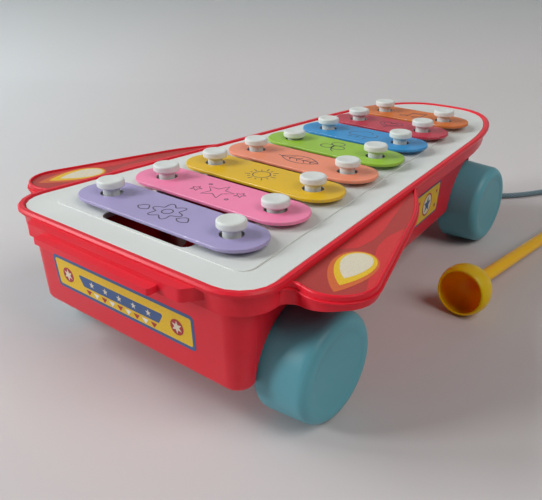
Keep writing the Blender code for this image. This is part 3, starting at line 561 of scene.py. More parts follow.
def wing_corners(extra=0.0):
    """Sharp corners and radii of the right wing, anticlockwise from its root, sunk by an extra depth."""
    sink = WING_SINK + extra
    tail = WING_TAIL_Y - 2 * WING_FILLET * sink / WING_SINK
    out, y, _ = WING_SHOULDER
    nose = y + WING_SLOPE * (out + sink)
    root = ((-sink, tail, 0.0), (0.0, WING_TAIL_Y, WING_FILLET))
    corners = (*root, WING_TIP, WING_SHOULDER, (-sink, nose, 0.0))
    return [(plan_half(y, 0.0) + out, y, radius) for out, y, radius in corners]


def wing_outline(inset):
    """The right wing's outline, drawn in everywhere but at its root."""
    return rounded(drawn_in(wing_corners(inset), inset))


def geometry_tree(name, inputs, output, nodes, links):
    """A Geometry Nodes tree from tables: its inputs, its nodes with their settings and values, and its links.

    Every tree takes a finish and ends in Realize Instances and Set Material.
    """
    tree = bpy.data.node_groups.new(name, "GeometryNodeTree")
    for label, kind in (*inputs, ("Finish", "Material")):
        tree.interface.new_socket(label, in_out="INPUT", socket_type=f"NodeSocket{kind}")
    tree.interface.new_socket(output, in_out="OUTPUT", socket_type="NodeSocketGeometry")
    made = {"given": tree.nodes.new("NodeGroupInput"), "result": tree.nodes.new("NodeGroupOutput")}
    ending = (("real", "RealizeInstances", {}, {}), ("paint", "SetMaterial", {}, {}))
    for key, kind, settings, values in (*nodes, *ending):
        made[key] = tree.nodes.new(f"GeometryNode{kind}")
        for setting, value in settings.items():
            setattr(made[key], setting, value)
        for socket, value in values.items():
            made[key].inputs[socket].default_value = value
    last = (("real.Geometry", "paint.Geometry"), ("given.Finish", "paint.Material"),
            ("paint.Geometry", f"result.{output}"))
    for start, end in (*links, *last):
        (source, out), (target, into) = start.split("."), end.split(".")
        tree.links.new(made[source].outputs[out], made[target].inputs[into])
    return tree


def copies_tree():
    """Geometry Nodes that put a copy of one piece on every point, turned by the point's own angles."""
    return geometry_tree(
        "Copies on points", (("Points", "Geometry"), ("Piece", "Object"), ("Size", "Float")), "Copies",
        (("piece", "ObjectInfo", {}, {}),
         ("turn", "InputNamedAttribute", {"data_type": "FLOAT_VECTOR"}, {"Name": "turn"}),
         ("spread", "InstanceOnPoints", {}, {})),
        (("given.Piece", "piece.Object"), ("given.Points", "spread.Points"),
         ("piece.Geometry", "spread.Instance"), ("turn.Attribute", "spread.Rotation"),
         ("given.Size", "spread.Scale"), ("spread.Instances", "real.Geometry")),
    )


def line_tree():
    """Geometry Nodes that draw every spline as a thin flat line of ink."""
    return geometry_tree(
        "Ink lines", (("Paths", "Geometry"), ("Line width", "Float"), ("Line height", "Float")), "Lines",
        (("upright", "SetCurveNormal", {"mode": "Z_UP"}, {}),
         ("section", "CurvePrimitiveQuadrilateral", {}, {}),
         ("sweep", "CurveToMesh", {}, {"Fill Caps": True})),
        (("given.Paths", "upright.Curve"), ("given.Line width", "section.Width"),
         ("given.Line height", "section.Height"), ("upright.Curve", "sweep.Curve"),
         ("section.Curve", "sweep.Profile Curve"), ("sweep.Mesh", "real.Geometry")),
    )


def grown(thing, tree, values):
    """Runs a Geometry Nodes tree on an object with these named inputs and keeps the plain mesh."""
    modifier = thing.modifiers.new(tree.name, "NODES")
    modifier.node_group = tree
    for socket in tree.interface.items_tree:
        if socket.name in values:
            modifier[socket.identifier] = values[socket.name]
    return baked(thing)


def spread_copies(name, piece, places, size, finish):
    """One mesh of copies of a template at (place, turn) pairs; the template goes."""
    mesh = bpy.data.meshes.new(name)
    mesh.from_pydata([place for place, _ in places], [], [])
    turns = mesh.attributes.new("turn", "FLOAT_VECTOR", "POINT")
    for slot, (_, turn) in zip(turns.data, places):
        slot.vector = turn
    tree = bpy.data.node_groups.get("Copies on points") or copies_tree()
    values = {"Piece": piece, "Size": size, "Finish": finish}
    made = grown(add_object(name, mesh), tree, values)
    bpy.data.objects.remove(piece, do_unlink=True)
    return made


# Yaw, downward pitch and roll in degrees, and the place from the toy's own datum.
CAMERA_TURNS = (38.702, 25.331, 0.302)
CAMERA_PLACE = (0.1958, -0.1406, 0.17865)
SWEEP_TURN = 38.7
# Each lamp has its share of the key's power, its size, its place and its tint.
LAMPS = {
    "key": (1.0, 1.5, (-2.30, -1.00, 1.90), (0.95, 0.98, 1.0)),
    "front": (0.31, 0.5, (-1.25, -1.65, 0.95), (0.95, 0.98, 1.0)),
    "side": (0.31, 1.4, (1.50, 0.00, 1.70), (1.0, 0.96, 0.93)),
}
LAMP_AIM = (0.0, 0.0, 0.03)
WORLD_COLOUR = (0.92, 0.95, 1.0, 1.0)
WORLD_LIGHT = 0.04
WORLD_SEEN = 0.40


class TOY_OT_stage(bpy.types.Operator):
    """Camera at the photograph's place, a pale floor that sweeps up into a wall, and soft lamps"""

    bl_idname = "toy.stage"
    bl_label = "Camera and stage"

    def execute(self, context):
        stage = context.scene.toy_stage
        self.make_camera(context, stage)
        self.make_sweep(stage)
        self.make_lamps(context, stage)
        context.scene.view_settings.view_transform = "Standard"
        return {"FINISHED"}

    @staticmethod
    def make_camera(context, stage):
        """Camera by its place, yaw, downward pitch and roll."""
        yaw, pitch, roll = (math.radians(turn) for turn in CAMERA_TURNS)
        ahead = Vector((-math.sin(yaw) * math.cos(pitch), math.cos(yaw) * math.cos(pitch), -math.sin(pitch)))
        level = Vector((math.cos(yaw), math.sin(yaw), 0.0))
        above = level.cross(ahead)
        right = level * math.cos(roll) + above * math.sin(roll)
        up = above * math.cos(roll) - level * math.sin(roll)
        data = bpy.data.cameras.new("camera")
        data.lens = stage.lens
        data.sensor_width = 36.0
        camera = add_object("camera", data)
        turn = Matrix((right, up, -ahead)).transposed().to_4x4()
        camera.matrix_world = Matrix.Translation(in_frame([CAMERA_PLACE])[0]) @ turn
        context.scene.camera = camera

    @staticmethod
    def make_sweep(stage):
        """Floor and wall in one sheet, with a wide bend between them behind the toy."""
        shape = bmesh.new()
        bend, far, near, wide = 0.35, 0.55, -1.6, 2.4
        section = [(near, 0.0), (near / 2, 0.0), (0.0, 0.0), (far - bend, 0.0)]
        section += [(far + x, bend + z) for x, z in arc(bend, -90.0, 0.0, 24)[1:]]
        section += [(far + bend, 1.0), (far + bend, 2.2)]
        facing = Matrix.Rotation(math.radians(SWEEP_TURN), 3, "Z")
        rows = [[shape.verts.new(facing @ Vector((x, y, z))) for x in (-wide, wide)] for y, z in section]
        for near_row, far_row in zip(rows, rows[1:]):
            shape.faces.new((near_row[0], near_row[1], far_row[1], far_row[0]))
        sweep = from_bmesh("floor_and_wall", shape, 60.0)
        material, tree, shader, place = new_finish("studio_paper")
        cloud = noise(tree, place, 3.0, 3.0)
        across, beyond, height = (part_of(tree, place, index) for index in range(3))
        rise_height, painted_light_start, painted_light_run = 0.10, 0.12, 0.30
        rise = (height / rise_height).rise(0.0, 1.0)
        # Painted light: the floor turns lighter and cooler towards the picture's left, along (-0.78, -0.62),
        # where the key's light falls.
        left = (0.0 - across * 0.78 - beyond * 0.62 - painted_light_start) / painted_light_run
        ground = left.rise(0.0, 1.0).mix(tuple(stage.floor), tuple(stage.left))
        paper = rise.mix(ground, tuple(stage.wall))
        feed(tree, shader, Base_Color=(cloud * 0.06).mix(paper, shaded(stage.wall, 0.8)))
        fix(shader, Roughness=0.75)
        sweep.data.materials.append(material)

    @staticmethod
    def make_lamps(context, stage):
        """Two lamps on the left, a warmer one on the right, and a world that is seen more than it lights."""
        for name, (share, size, place, tint) in LAMPS.items():
            data = bpy.data.lights.new(name, "AREA")
            data.energy = stage.key * share
            data.size = size
            data.color = tint
            lamp = add_object(name, data)
            lamp.location = place
            aim = Vector(LAMP_AIM) - Vector(place)
            lamp.rotation_euler = aim.to_track_quat("-Z", "Y").to_euler()
        world = bpy.data.worlds.new("studio")
        world.use_nodes = True
        backdrop = world.node_tree.nodes["Background"]
        backdrop.inputs["Color"].default_value = WORLD_COLOUR
        tree = Signal(world.node_tree)
        # The outputs for camera, glossy and transmission rays.
        camera, glossy, through = (tree.node("ShaderNodeLightPath", {}, {}, index) for index in (0, 3, 6))
        shown = tree.math("MAXIMUM", camera, tree.math("MAXIMUM", glossy, through))
        feed(tree, backdrop, Strength=shown * WORLD_SEEN + WORLD_LIGHT)
        context.scene.world = world


CORD_ROUTE = (
    (0.0000, 0.0000, 0.0340), (0.0000, 0.0070, 0.0334), (0.0008, 0.0140, 0.0290), (0.0025, 0.0185, 0.0200),
    (0.0050, 0.0205, 0.0110), (0.0095, 0.0215, 0.0045), (0.0160, 0.0240, 0.0022), (0.0260, 0.0320, 0.0020),
    (0.0386, 0.0414, 0.0020), (0.0478, 0.0518, 0.0020), (0.0586, 0.0692, 0.0020), (0.0650, 0.0840, 0.0024),
)
CORD_WALL_Y = (0.29469, 0.29689)
COIL_CENTRE = (0.0930, CORD_WALL_Y[1] + 0.0990)
COIL_RADIUS = 0.0200
COIL_TURNS = 2.5
COIL_CLIMB_TURN = 0.5
COIL_STEP = 0.0044
COIL_LOW = 0.0028
COIL_EXIT_TURN = 0.25
COIL_LOOP_POINTS = 36


def coil_points(radius):
    """The coil's centreline: in along the lower layer, up at the middle, out above, and down at the end."""
    top_end = 2 * COIL_TURNS
    total = top_end + COIL_EXIT_TURN
    inner = COIL_RADIUS - COIL_STEP * COIL_TURNS / 2
    count = round(total * COIL_LOOP_POINTS)
    points = []
    for index in range(count + 1):
        turn = total * index / count
        share = min(max((turn - COIL_TURNS) / COIL_CLIMB_TURN + 0.5, 0.0), 1.0)
        out = inner + COIL_STEP * abs(turn - COIL_TURNS)
        z = COIL_LOW + COIL_STEP * share * share * (3 - 2 * share)
        if turn > top_end:
            roll = math.pi / 2 * (turn - top_end) / COIL_EXIT_TURN
            out = inner + COIL_STEP * (COIL_TURNS + math.sin(roll))
            z = COIL_LOW + COIL_STEP * math.cos(roll)
        angle = math.pi - 2 * math.pi * turn
        x, y = COIL_CENTRE
        points.append(Vector((x + out * math.cos(angle), y + out * math.sin(angle), z)))
    tail = (points[-1] - points[-2]).normalized() * 2 * radius
    return [points[0] + Vector((0.0, -2 * radius, 0.0)), *points, points[-1] + tail]


def smooth_path(route, spacing):
    """Points about spacing apart on a smooth curve through the route's own points."""
    points = [Vector(p) for p in route]
    padded = [2 * points[0] - points[1], *points, 2 * points[-1] - points[-2]]
    path = []
    for a, b, c, d in zip(padded, padded[1:], padded[2:], padded[3:]):
        count = max(1, round((c - b).length / spacing))
        for step in range(count):
            t = step / count
            path.append(0.5 * (2 * b + (c - a) * t + (2 * a - 5 * b + 4 * c - d) * t * t
                               + (3 * b - a - 3 * c + d) * t ** 3))
    path.append(points[-1])
    return path


def tube(name, path, radius, sides=12, closed=False):
    """A tube along a path, mapped by turn round it and by length along it."""
    shape = bmesh.new()
    layer = shape.loops.layers.uv.new("cord")
    count = len(path)
    ahead = []
    for index in range(count):
        before = path[index - 1] if closed or index else path[0]
        after = path[(index + 1) % count] if closed or index < count - 1 else path[-1]
        ahead.append((after - before).normalized())
    side = ahead[0].orthogonal().normalized()
    rings, lengths = [], [0.0]
    for index, (point, direction) in enumerate(zip(path, ahead)):
        side = (side - direction * side.dot(direction)).normalized()
        other = direction.cross(side)
        circle = arc(radius, 0.0, 360.0, sides)[:-1]
        rings.append([shape.verts.new(point + side * x + other * y) for x, y in circle])
        if index:
            lengths.append(lengths[-1] + (point - path[index - 1]).length)
    if closed:
        lengths.append(lengths[-1] + (path[0] - path[-1]).length)
    for number, face in enumerate(skin(shape, [*rings, rings[0]] if closed else rings)):
        index, step = divmod(number, sides)
        spots = ((step, index), (step + 1, index), (step + 1, index + 1), (step, index + 1))
        for loop, (turn, spot) in zip(face.loops, spots):
            loop[layer].uv = (turn / sides, lengths[spot])
    if not closed:
        shape.faces.new(rings[0])
        shape.faces.new(rings[-1])
    bmesh.ops.recalc_face_normals(shape, faces=shape.faces)
    return from_bmesh(name, shape, 60.0)


def knot_path(centre, size):
    """A tight trefoil, wound as a hand-tied knot is."""
    points = []
    for step in range(90):
        t = 2 * math.pi * step / 90
        spot = Vector((
            math.sin(t) + 2 * math.sin(2 * t), math.cos(t) - 2 * math.cos(2 * t), -1.15 * math.sin(3 * t),
        ))
        points.append(Vector(centre) + spot * size / 3)
    return points


class TOY_OT_cord(bpy.types.Operator):
    """Pull cord from the hole in the nose, past the wheel, to the tied coil that holds its spare length"""

    bl_idname = "toy.cord"
    bl_label = "Pull cord"

    def execute(self, context):
        props = context.scene.toy_cord
        radius = props.diameter / 2
        finish = plaited_cord(tuple(props.colour))
        coil = coil_points(radius)
        inside, outside = CORD_WALL_Y
        beyond = [(x, outside + y, z) for x, y, z in CORD_ROUTE]
        before = coil[0] + Vector((0.0, -2 * radius, 0.0))
        route = smooth_path([(0.0, inside, CORD_ROUTE[0][2]), *beyond, before, coil[0]], 0.0018)
        path = in_frame([*route[:-1], *coil])
        cord = dress(tube("pull_cord_plait", path, radius), "cart", finish)
        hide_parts("pull_cord", "cord_coil")
        end_knot = self.make_knot("end_knot_tied", "end_knot", finish)
        inner_knot = self.make_knot("inner_knot_tied", "inner_knot", finish)
        tie = self.make_tie(finish)
        return {"FINISHED"}

    @staticmethod
    def make_knot(name, node, finish):
        """A knot in the space of its CAD lump."""
        size, thickness, sides = 0.62, 0.36, 10
        low, high = corners_of(node)
        span = (high.x - low.x) / 2
        path = knot_path(middle(node), span * size)
        knot = dress(tube(name, path, span * thickness, sides, True), "cart", finish)
        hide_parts(node)
        return knot

    @staticmethod
    def make_tie(finish):
        """Four turns of thin twine round the coil's turns."""
        low, high = corners_of("coil_tie")
        core, corner, turns, width = 0.00034, 0.0019, 4, 0.0042
        loop = panel((high.x - low.x) / 2 - core, (high.z - low.z) / 2 - core, corner, 6)
        spot = (low + high) / 2
        path = []
        for index in range(turns * len(loop) + 1):
            x, z = loop[index % len(loop)]
            share = index / (turns * len(loop)) - 0.5
            path.append(spot + Vector((x, share * width, z)))
        tie = dress(tube("coil_tie_twine", path, core, 8), "cart", finish)
        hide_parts("coil_tie")
        return tie


def prisms(name, plans):
    """One mesh of upright prisms, each a plan with its bottom and top, on both sides of the toy."""
    shape = bmesh.new()
    for plan, low, high in plans:
        for sign in (1, -1):
            spots = [(TOY_X + sign * x, TOY_Y + y) for x, y in plan]
            bottom = [shape.verts.new((x, y, low)) for x, y in spots]
            top = [shape.verts.new((x, y, high)) for x, y in spots]
            shape.faces.new(bottom)
            shape.faces.new(top)
            skin(shape, [bottom, top])
    bmesh.ops.recalc_face_normals(shape, faces=shape.faces)
    return from_bmesh(name, shape)


def beside_rim(tail, nose, inner, outer):
    """A plan along the right side, between two distances out from the rim's edge."""
    return [(plan_half(y, 0.0) + out, y) for y, out in (
        (tail, inner), (tail, outer), (nose, outer), (nose, inner),
    )]


class TOY_OT_mouldings(bpy.types.Operator):
    """Red frame and tub and the white deck, with softened edges and moulded skins"""

    bl_idname = "toy.mouldings"
    bl_label = "Frame, tub and deck"

    def execute(self, context):
        props = context.scene.toy_body
        red = moulded_plastic("red_moulding", tuple(props.red), 0.33, shine=0.22)
        white = moulded_plastic("white_moulding", tuple(props.white), 0.36)
        for node, finish, edge, slot in (
            ("upper_frame", red, props.edge, "red_plastic"),
            ("tub", red, props.edge, "red_plastic"),
            ("deck", white, props.edge * 0.6, "white_plastic"),
        ):
            copy = welded_copy(f"{node}_moulding", node)
            if node == "upper_frame":
                copy = cut_by(copy, self.wing_room())
            piece = dress(softened(copy, edge), "cart", finish)
            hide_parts(node)
        return {"FINISHED"}

    @staticmethod
    def wing_room():
        """The space outside the rim and under its bead that the wings' own pieces fill."""
        slack, past = 0.00002, 0.0020
        low = SKIRT_BOTTOM - past
        outside = beside_rim(-0.0200, 0.2000, slack, 0.0600)
        under_bead = beside_rim(0.0185, 0.1600, -0.0021, 0.0010)
        return prisms("wing_room", (
            (outside, low, RIM_TOP + past), (under_bead, low, BEAD_BOTTOM - slack),
        ))


class TOY_OT_wings(bpy.types.Operator):
    """Two wings with a flange and a stepped bead along the edge, a sunk panel and a hollow underside"""

    bl_idname = "toy.wings"
    bl_label = "Wings"

    def execute(self, context):
        red = bpy.data.materials["red_moulding"]
        for sign, side in ((1, "right"), (-1, "left")):
            wing = dress(self.make_wing(f"wing_{side}_moulding", sign), "cart", red)
            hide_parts("upper_frame")
        return {"FINISHED"}

    @staticmethod
    def section():
        """Distances in from the edge and heights, from the foot over the flange and bead to the panel."""
        foot, lean, step, bead = 0.0012, 0.0007, 0.0008, 0.0008
        flange_top = WING_TOP - 0.0024
        flange_bottom = flange_top - 0.0010
        edge = 0.0003
        points = [(foot, WING_BASE), (foot - lean, flange_bottom)]
        points += arc(edge, 270.0, 180.0, 3, (edge, flange_bottom + edge))
        points += arc(edge, 180.0, 90.0, 3, (edge, flange_top - edge))
        points += [(step, flange_top)]
        points += arc(bead, 180.0, 90.0, 5, (step + bead, WING_TOP - bead))
        points += arc(edge, 90.0, 0.0, 3, (WING_LIP - edge, WING_TOP - edge))
        points += [(WING_LIP, WING_PANEL)]
        return points

    def make_wing(self, name, sign):
        """A closed shell of rings that follow the wing's outline, its foot let down to the body's skirt."""
        wall, foot_run = 0.0032, 0.0200
        inside = rounded(drawn_in(wing_corners(), wall))
        rings = [(inside, WING_PANEL - 0.0020), (inside, WING_BASE)]
        rings += [(wing_outline(inset), z) for inset, z in self.section()]
        shape = bmesh.new()
        loops = []
        for outline, z in rings:
            loop = []
            for x, y in outline:
                drop = 0.0
                if z < WING_BASE + 1e-6:
                    share = 1 - (x - plan_half(y, 0.0)) / foot_run
                    drop = (WING_BASE - SKIRT_BOTTOM) * min(max(share, 0.0), 1.0)
                loop.append(shape.verts.new((TOY_X + sign * x, TOY_Y + y, z - drop)))
            loops.append(loop)
        skin(shape, loops)
        shape.faces.new(loops[0])
        shape.faces.new(loops[-1])
        bmesh.ops.triangulate(shape, faces=[f for f in shape.faces if len(f.verts) > 4])
        bmesh.ops.recalc_face_normals(shape, faces=shape.faces)
        return from_bmesh(name, shape, 40.0)


def bar_outline(length, width, steps=14):
    """Round-ended outline along x."""
    side = width / 2
    run = length / 2 - side
    right = arc(side, -90.0, 90.0, 2 * steps, (run, 0.0))
    left = arc(side, 90.0, 270.0, 2 * steps, (-run, 0.0))
    return right + left


def add_spline(curve, points, height, closed):
    """A spline of straight runs through points at one height."""
    spline = curve.splines.new("POLY")
    spline.points.add(len(points) - 1)
    for point, (x, y) in zip(spline.points, points):
        point.co = (x, y, height, 1.0)
    spline.use_cyclic_u = closed


def soft_plate(name, outlines, thickness, edge):
    """A plate of nested outlines with rounded edges, its middle plane at z 0."""
    curve = bpy.data.curves.new(name, "CURVE")
    curve.dimensions = "2D"
    curve.fill_mode = "BOTH"
    curve.extrude = thickness / 2 - edge
    curve.bevel_depth = edge
    curve.bevel_resolution = 2
    curve.offset = -edge
    for outline in outlines:
        add_spline(curve, outline, 0.0, True)
    return add_object(name, curve)


class TOY_OT_bars(bpy.types.Operator):
    """Eight enamelled bars with rolled edges"""

    bl_idname = "toy.bars"
    bl_label = "Bars"

    def execute(self, context):
        props = context.scene.toy_bars
        for bar in BARS:
            self.make_bar(context, props, bar)
        return {"FINISHED"}

    @staticmethod
    def make_bar(context, props, bar):
        """One bar: an outline with two holes, softened, with its edge marked for the enamel."""
        low, high = corners_of(f"bar_{bar}")
        size = high - low
        spot = (low + high) / 2
        hole = 0.0050
        pegs = [middle(f"peg_{bar}_{side}").x - spot.x for side in ("left", "right")]
        holes = [arc(hole, 0.0, 360.0, 36, (x, 0.0))[:-1] for x in pegs]
        thing = soft_plate(f"bar_{bar}_sheet", [bar_outline(size.x, size.y), *holes], size.z, props.edge)
        thing.location = spot
        context.view_layer.update()
        thing = baked(thing)
        mesh = thing.data
        shape = bmesh.new()
        shape.from_mesh(mesh)
        bmesh.ops.remove_doubles(shape, verts=shape.verts, dist=1e-6)
        bmesh.ops.recalc_face_normals(shape, faces=shape.faces)
        mark = shape.verts.layers.float.new("edge")
        for vert in shape.verts:
            place = vert.co - spot
            inner = any(math.hypot(place.x - x, place.y) < hole + 0.0002 for x in pegs)
            deep = abs(place.z) < size.z / 2 - 1e-5
            vert[mark] = (1.0 if inner else 0.8) if deep else 0.25
        for face in shape.faces:
            face.smooth = abs(face.normal.z) < 0.999
        shape.to_mesh(mesh)
        shape.free()
        finish = bar_enamel(f"{bar}_enamel", tuple(getattr(props, bar)))
        dress(thing, f"{bar}_bar", finish)
        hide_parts(f"bar_{bar}")


def ring(radius, count, wave=0.0, petals=0, centre=(0.0, 0.0)):
    """A closed line round a centre, its radius waved into petals."""
    points = []
    for step in range(count + 1):
        t = 2 * math.pi * step / count
        r = radius * (1 + wave * math.cos(petals * t))
        points.append((centre[0] + r * math.cos(t), centre[1] + r * math.sin(t)))
    return points


def star(radius, inner, points=5, centre=(0.0, 0.0)):
    """A closed star."""
    outline = []
    for step in range(2 * points + 1):
        r = radius if step % 2 == 0 else inner
        t = math.pi / 2 + math.pi * step / points
        outline.append((centre[0] + r * math.cos(t), centre[1] + r * math.sin(t)))
    return outline


def flower_lines():
    """A daisy with a round middle and two leaves."""
    lines = [ring(5.2, 72, 0.24, 6), ring(1.9, 24)]
    for sign in (-1, 1):
        for swell, steps in ((2.6, 5), (-1.4, 4)):
            shares = [step / steps for step in range(steps + 1)]
            lines.append([(sign * (6.6 + 5.0 * s), -2.4 + swell * math.sin(math.pi * s)) for s in shares])
    return lines


def star_lines():
    """A large star with a small one on each side."""
    return [star(6.2, 2.7), star(2.3, 1.0, centre=(-8.4, -2.2)), star(2.3, 1.0, centre=(8.4, 2.2)),
            ring(0.6, 10, centre=(7.4, -3.8)), ring(0.6, 10, centre=(-7.2, 4.0))]


def sun_lines():
    """A sun with rays of two lengths."""
    lines = [ring(3.4, 32)]
    for step in range(14):
        t = 2 * math.pi * step / 14
        far = 6.6 if step % 2 == 0 else 5.6
        lines.append([(4.4 * math.cos(t), 4.4 * math.sin(t)), (far * math.cos(t), far * math.sin(t))])
    return lines


def leaf_lines():
    """A long leaf with its veins."""
    upper = [(-9.0 + 18.0 * s, 4.2 * math.sin(math.pi * s) ** 0.8) for s in [i / 12 for i in range(13)]]
    lower = [(x, -y) for x, y in upper]
    lines = [upper, lower, [(-10.5, 0.0), (8.2, 0.0)]]
    for x in (-5.0, -1.6, 1.8, 5.0):
        lines += [[(x, 0.0), (x + 1.8, 2.2)], [(x, 0.0), (x + 1.8, -2.2)]]
    return lines


def clover_lines():
    """A clover on a bent stalk."""
    lines = []
    for turn in (90.0, 210.0, 330.0):
        t = math.radians(turn)
        lines.append(ring(2.7, 28, 0.12, 2, (3.1 * math.cos(t), 1.0 + 3.1 * math.sin(t))))
    lines.append([(0.0, 0.4), (0.5, -2.4), (1.8, -4.6), (3.8, -6.2)])
    return lines


def cloud_lines():
    """A cloud with drops under it."""
    lines = [arc(2.6, 60.0, 270.0, 16, (-4.4, 0.4)) + arc(2.6, 270.0, 420.0, 12, (4.4, 0.4))]
    lines.append(arc(3.6, 20.0, 160.0, 18, (0.0, 1.9)))
    for x in (-3.6, 0.0, 3.6):
        lines.append([(x, -3.6), (x - 0.7, -5.4)])
    return lines


def heart_lines():
    """A heart in a heart."""
    outline = []
    for step in range(49):
        t = 2 * math.pi * step / 48
        x = 16 * math.sin(t) ** 3
        y = 13 * math.cos(t) - 5 * math.cos(2 * t) - 2 * math.cos(3 * t) - math.cos(4 * t)
        outline.append((x * 0.36, y * 0.34 + 0.6))
    return [outline, [(x * 0.62, y * 0.62 + 0.3) for x, y in outline]]


def note_lines():
    """A pair of joined notes."""
    lines = []
    for x in (-3.6, 3.2):
        circle = arc(1.0, 0.0, 360.0, 20)
        lines.append([(x + 1.9 * c - 0.5 * s, -3.4 + 1.2 * s + 0.5 * c) for c, s in circle])
    lines += [[(-1.8, -3.0), (-1.8, 4.0)], [(5.0, -3.0), (5.0, 5.2)], [(-1.8, 4.0), (5.0, 5.2)],
              [(-1.8, 2.6), (5.0, 3.8)]]
    return lines


DRAWINGS = dict(zip(BARS, (
    flower_lines, star_lines, sun_lines, leaf_lines, clover_lines, cloud_lines, heart_lines, note_lines,
)))


class TOY_OT_drawings(bpy.types.Operator):
    """A small line drawing printed in the middle of every bar"""

    bl_idname = "toy.drawings"
    bl_label = "Bar drawings"

    def execute(self, context):
        props = context.scene.toy_bars
        ink = drawing_ink(tuple(props.ink))
        tree = line_tree()
        scale = MM * props.drawing
        for bar, draw in DRAWINGS.items():
            height = 0.00005
            spot = middle(f"bar_{bar}")
            spot.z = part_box(f"bar_{bar}")[1][2] + height * 0.45
            curve = bpy.data.curves.new(f"drawing_{bar}", "CURVE")
            curve.dimensions = "3D"
            for line in draw():
                closed = math.dist(line[0], line[-1]) < 1e-6
                points = [(spot.x + x * scale, spot.y + y * scale) for x, y in line]
                add_spline(curve, points[:-1] if closed else points, spot.z, closed)
            values = {"Line width": props.line, "Line height": height, "Finish": ink}
            drawing = grown(add_object(f"drawing_{bar}", curve), tree, values)
            dress(drawing, f"{bar}_bar", ink)
        return {"FINISHED"}


class TOY_OT_pegs(bpy.types.Operator):
    """Sixteen white pegs with soft-edged caps, spread by Geometry Nodes"""

    bl_idname = "toy.pegs"
    bl_label = "Pegs"

    def execute(self, context):
        cap, neck, foot = 0.00625, 0.0038, 0.0160
        edge, under_edge, under = 0.0009, 0.0006, 0.0033
        dimple, dimple_depth, fillet, barb, barb_top = 0.0036, 0.00012, 0.0004, 0.0006, 0.0129
        profile = [(0.0, -dimple_depth), (dimple, -dimple_depth), (0.0042, 0.0), (cap - edge * 1.2, 0.0)]
        profile += arc(edge, 80.0, 0.0, 5, (cap - edge, -edge))
        profile += [(cap, under_edge - under)]
        profile += arc(under_edge, 0.0, -90.0, 3, (cap - under_edge, under_edge - under))
        profile += [(neck + fillet, -under), (neck, -under - fillet), (neck, -barb_top),
                    (neck + barb, -barb_top - 0.0001), (neck - barb, -foot), (0.0, -foot)]
        finish = moulded_plastic("peg_moulding", tuple(context.scene.toy_body.white), 0.40)
        places = []
        for index, node in enumerate(PEGS):
            spot = middle(node)
            places.append(((spot.x, spot.y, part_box(node)[1][2]), (0.0, 0.0, 2.4 * index)))
        pegs = spread_copies("pegs", lathe("peg", profile, 40), places, 1.0, finish)
        dress(pegs, "cart", finish)
        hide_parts(*PEGS)
        return {"FINISHED"}


class TOY_OT_wheels(bpy.types.Operator):
    """Four closed-faced wheels with rounded shoulders and a shallow ring in the face"""

    bl_idname = "toy.wheels"
    bl_label = "Wheels"

    def execute(self, context):
        finish = moulded_plastic("teal_moulding", tuple(context.scene.toy_body.teal), 0.38)
        for end in ("tail", "nose"):
            places = []
            for side, sign in (("left", -1), ("right", 1)):
                low, high = corners_of(f"{end}_wheel_{side}")
                width = high.x - low.x
                spot = (low + high) / 2
                inner = spot.x - sign * width / 2
                places.append(((inner, spot.y, spot.z), (0.0, sign * math.pi / 2, 0.0)))
            wheel = lathe("wheel", self.profile(width), 96)
            wheels = spread_copies(f"{end}_wheels", wheel, places, 1.0, finish)
            dress(wheels, f"{end}_wheel_set", finish)
            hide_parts(f"{end}_wheel_left", f"{end}_wheel_right")
        return {"FINISHED"}

    @staticmethod
    def profile(width):
        """From the face's middle, over the shoulder and tread, to the hollow back and the hub's bore."""
        (outer, inner), (face_edge, back_edge) = WHEEL_RADII, WHEEL_EDGES
        wall, sink, hub, hub_back, axle = 0.0026, 0.0004, 0.0062, 0.0005, 0.0028
        flat = outer - face_edge
        points = [(0.0, width - sink), (flat - 0.0036, width - sink)]
        points += [(flat - 0.0028, width - sink * 0.75), (flat - 0.0022, width)]
        points += arc(face_edge, 90.0, 0.0, 10, (flat, width - face_edge))
        points += arc(back_edge, 0.0, -90.0, 6, (inner - back_edge, back_edge))
        bore, hollow = width - wall, inner - back_edge - wall
        points += [(hollow, 0.0), (hollow, bore - wall), (hub, bore - wall), (hub, hub_back),
                   (axle, hub_back), (axle, bore), (0.0, bore)]
        return points


class TOY_OT_fasteners(bpy.types.Operator):
    """Steel axles and the six cross-head screws under the tub"""

    bl_idname = "toy.fasteners"
    bl_label = "Axles and screws"

    def execute(self, context):
        steel = bright_steel()
        for end in ("tail", "nose"):
            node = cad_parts[f"{end}_axle"]
            node.data.materials.clear()
            node.data.materials.append(steel)
        names = [f"screw_{number}" for number in range(1, 7)]
        low, high = corners_of(names[0])
        places = [((middle(n).x, middle(n).y, low.z), (0.0, 0.0, 0.7 * i)) for i, n in enumerate(names)]
        screws = spread_copies("screws", self.screw(high.z - low.z), places, 1.0, steel)
        dress(screws, "cart", steel)
        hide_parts(*names)
        return {"FINISHED"}

    @staticmethod
    def screw(length):
        """A pan head with a cross recess, and a threaded shank."""
        head, head_edge, head_height = 0.0033, 0.0012, 0.0020
        core, crest, thread, pitch, point = 0.00125, 0.0015, 0.0006, 0.0009, 0.0012
        flat = head - head_edge
        profile = [(0.0, 0.0), (flat, 0.0)] + arc(head_edge, -90.0, 0.0, 5, (flat, head_edge))
        profile += [(head, head_height), (core, head_height)]
        z = head_height + thread
        while z < length - point - 0.0004:
            profile += [(core, z), (crest, z + thread / 2), (core, z + thread)]
            z += pitch
        profile += [(core, length - point), (0.0, length)]
        body = lathe("screw", profile, 24)
        cross = bmesh.new()
        for turn in (0.0, math.pi / 2):
            blade = bmesh.ops.create_cube(cross, size=1.0)
            move = Matrix.Rotation(turn, 4, "Z") @ Matrix.Diagonal((0.0036, 0.0008, 0.0022, 1.0))
            bmesh.ops.transform(cross, matrix=move, verts=blade["verts"])
        return cut_by(body, from_bmesh("cross", cross))


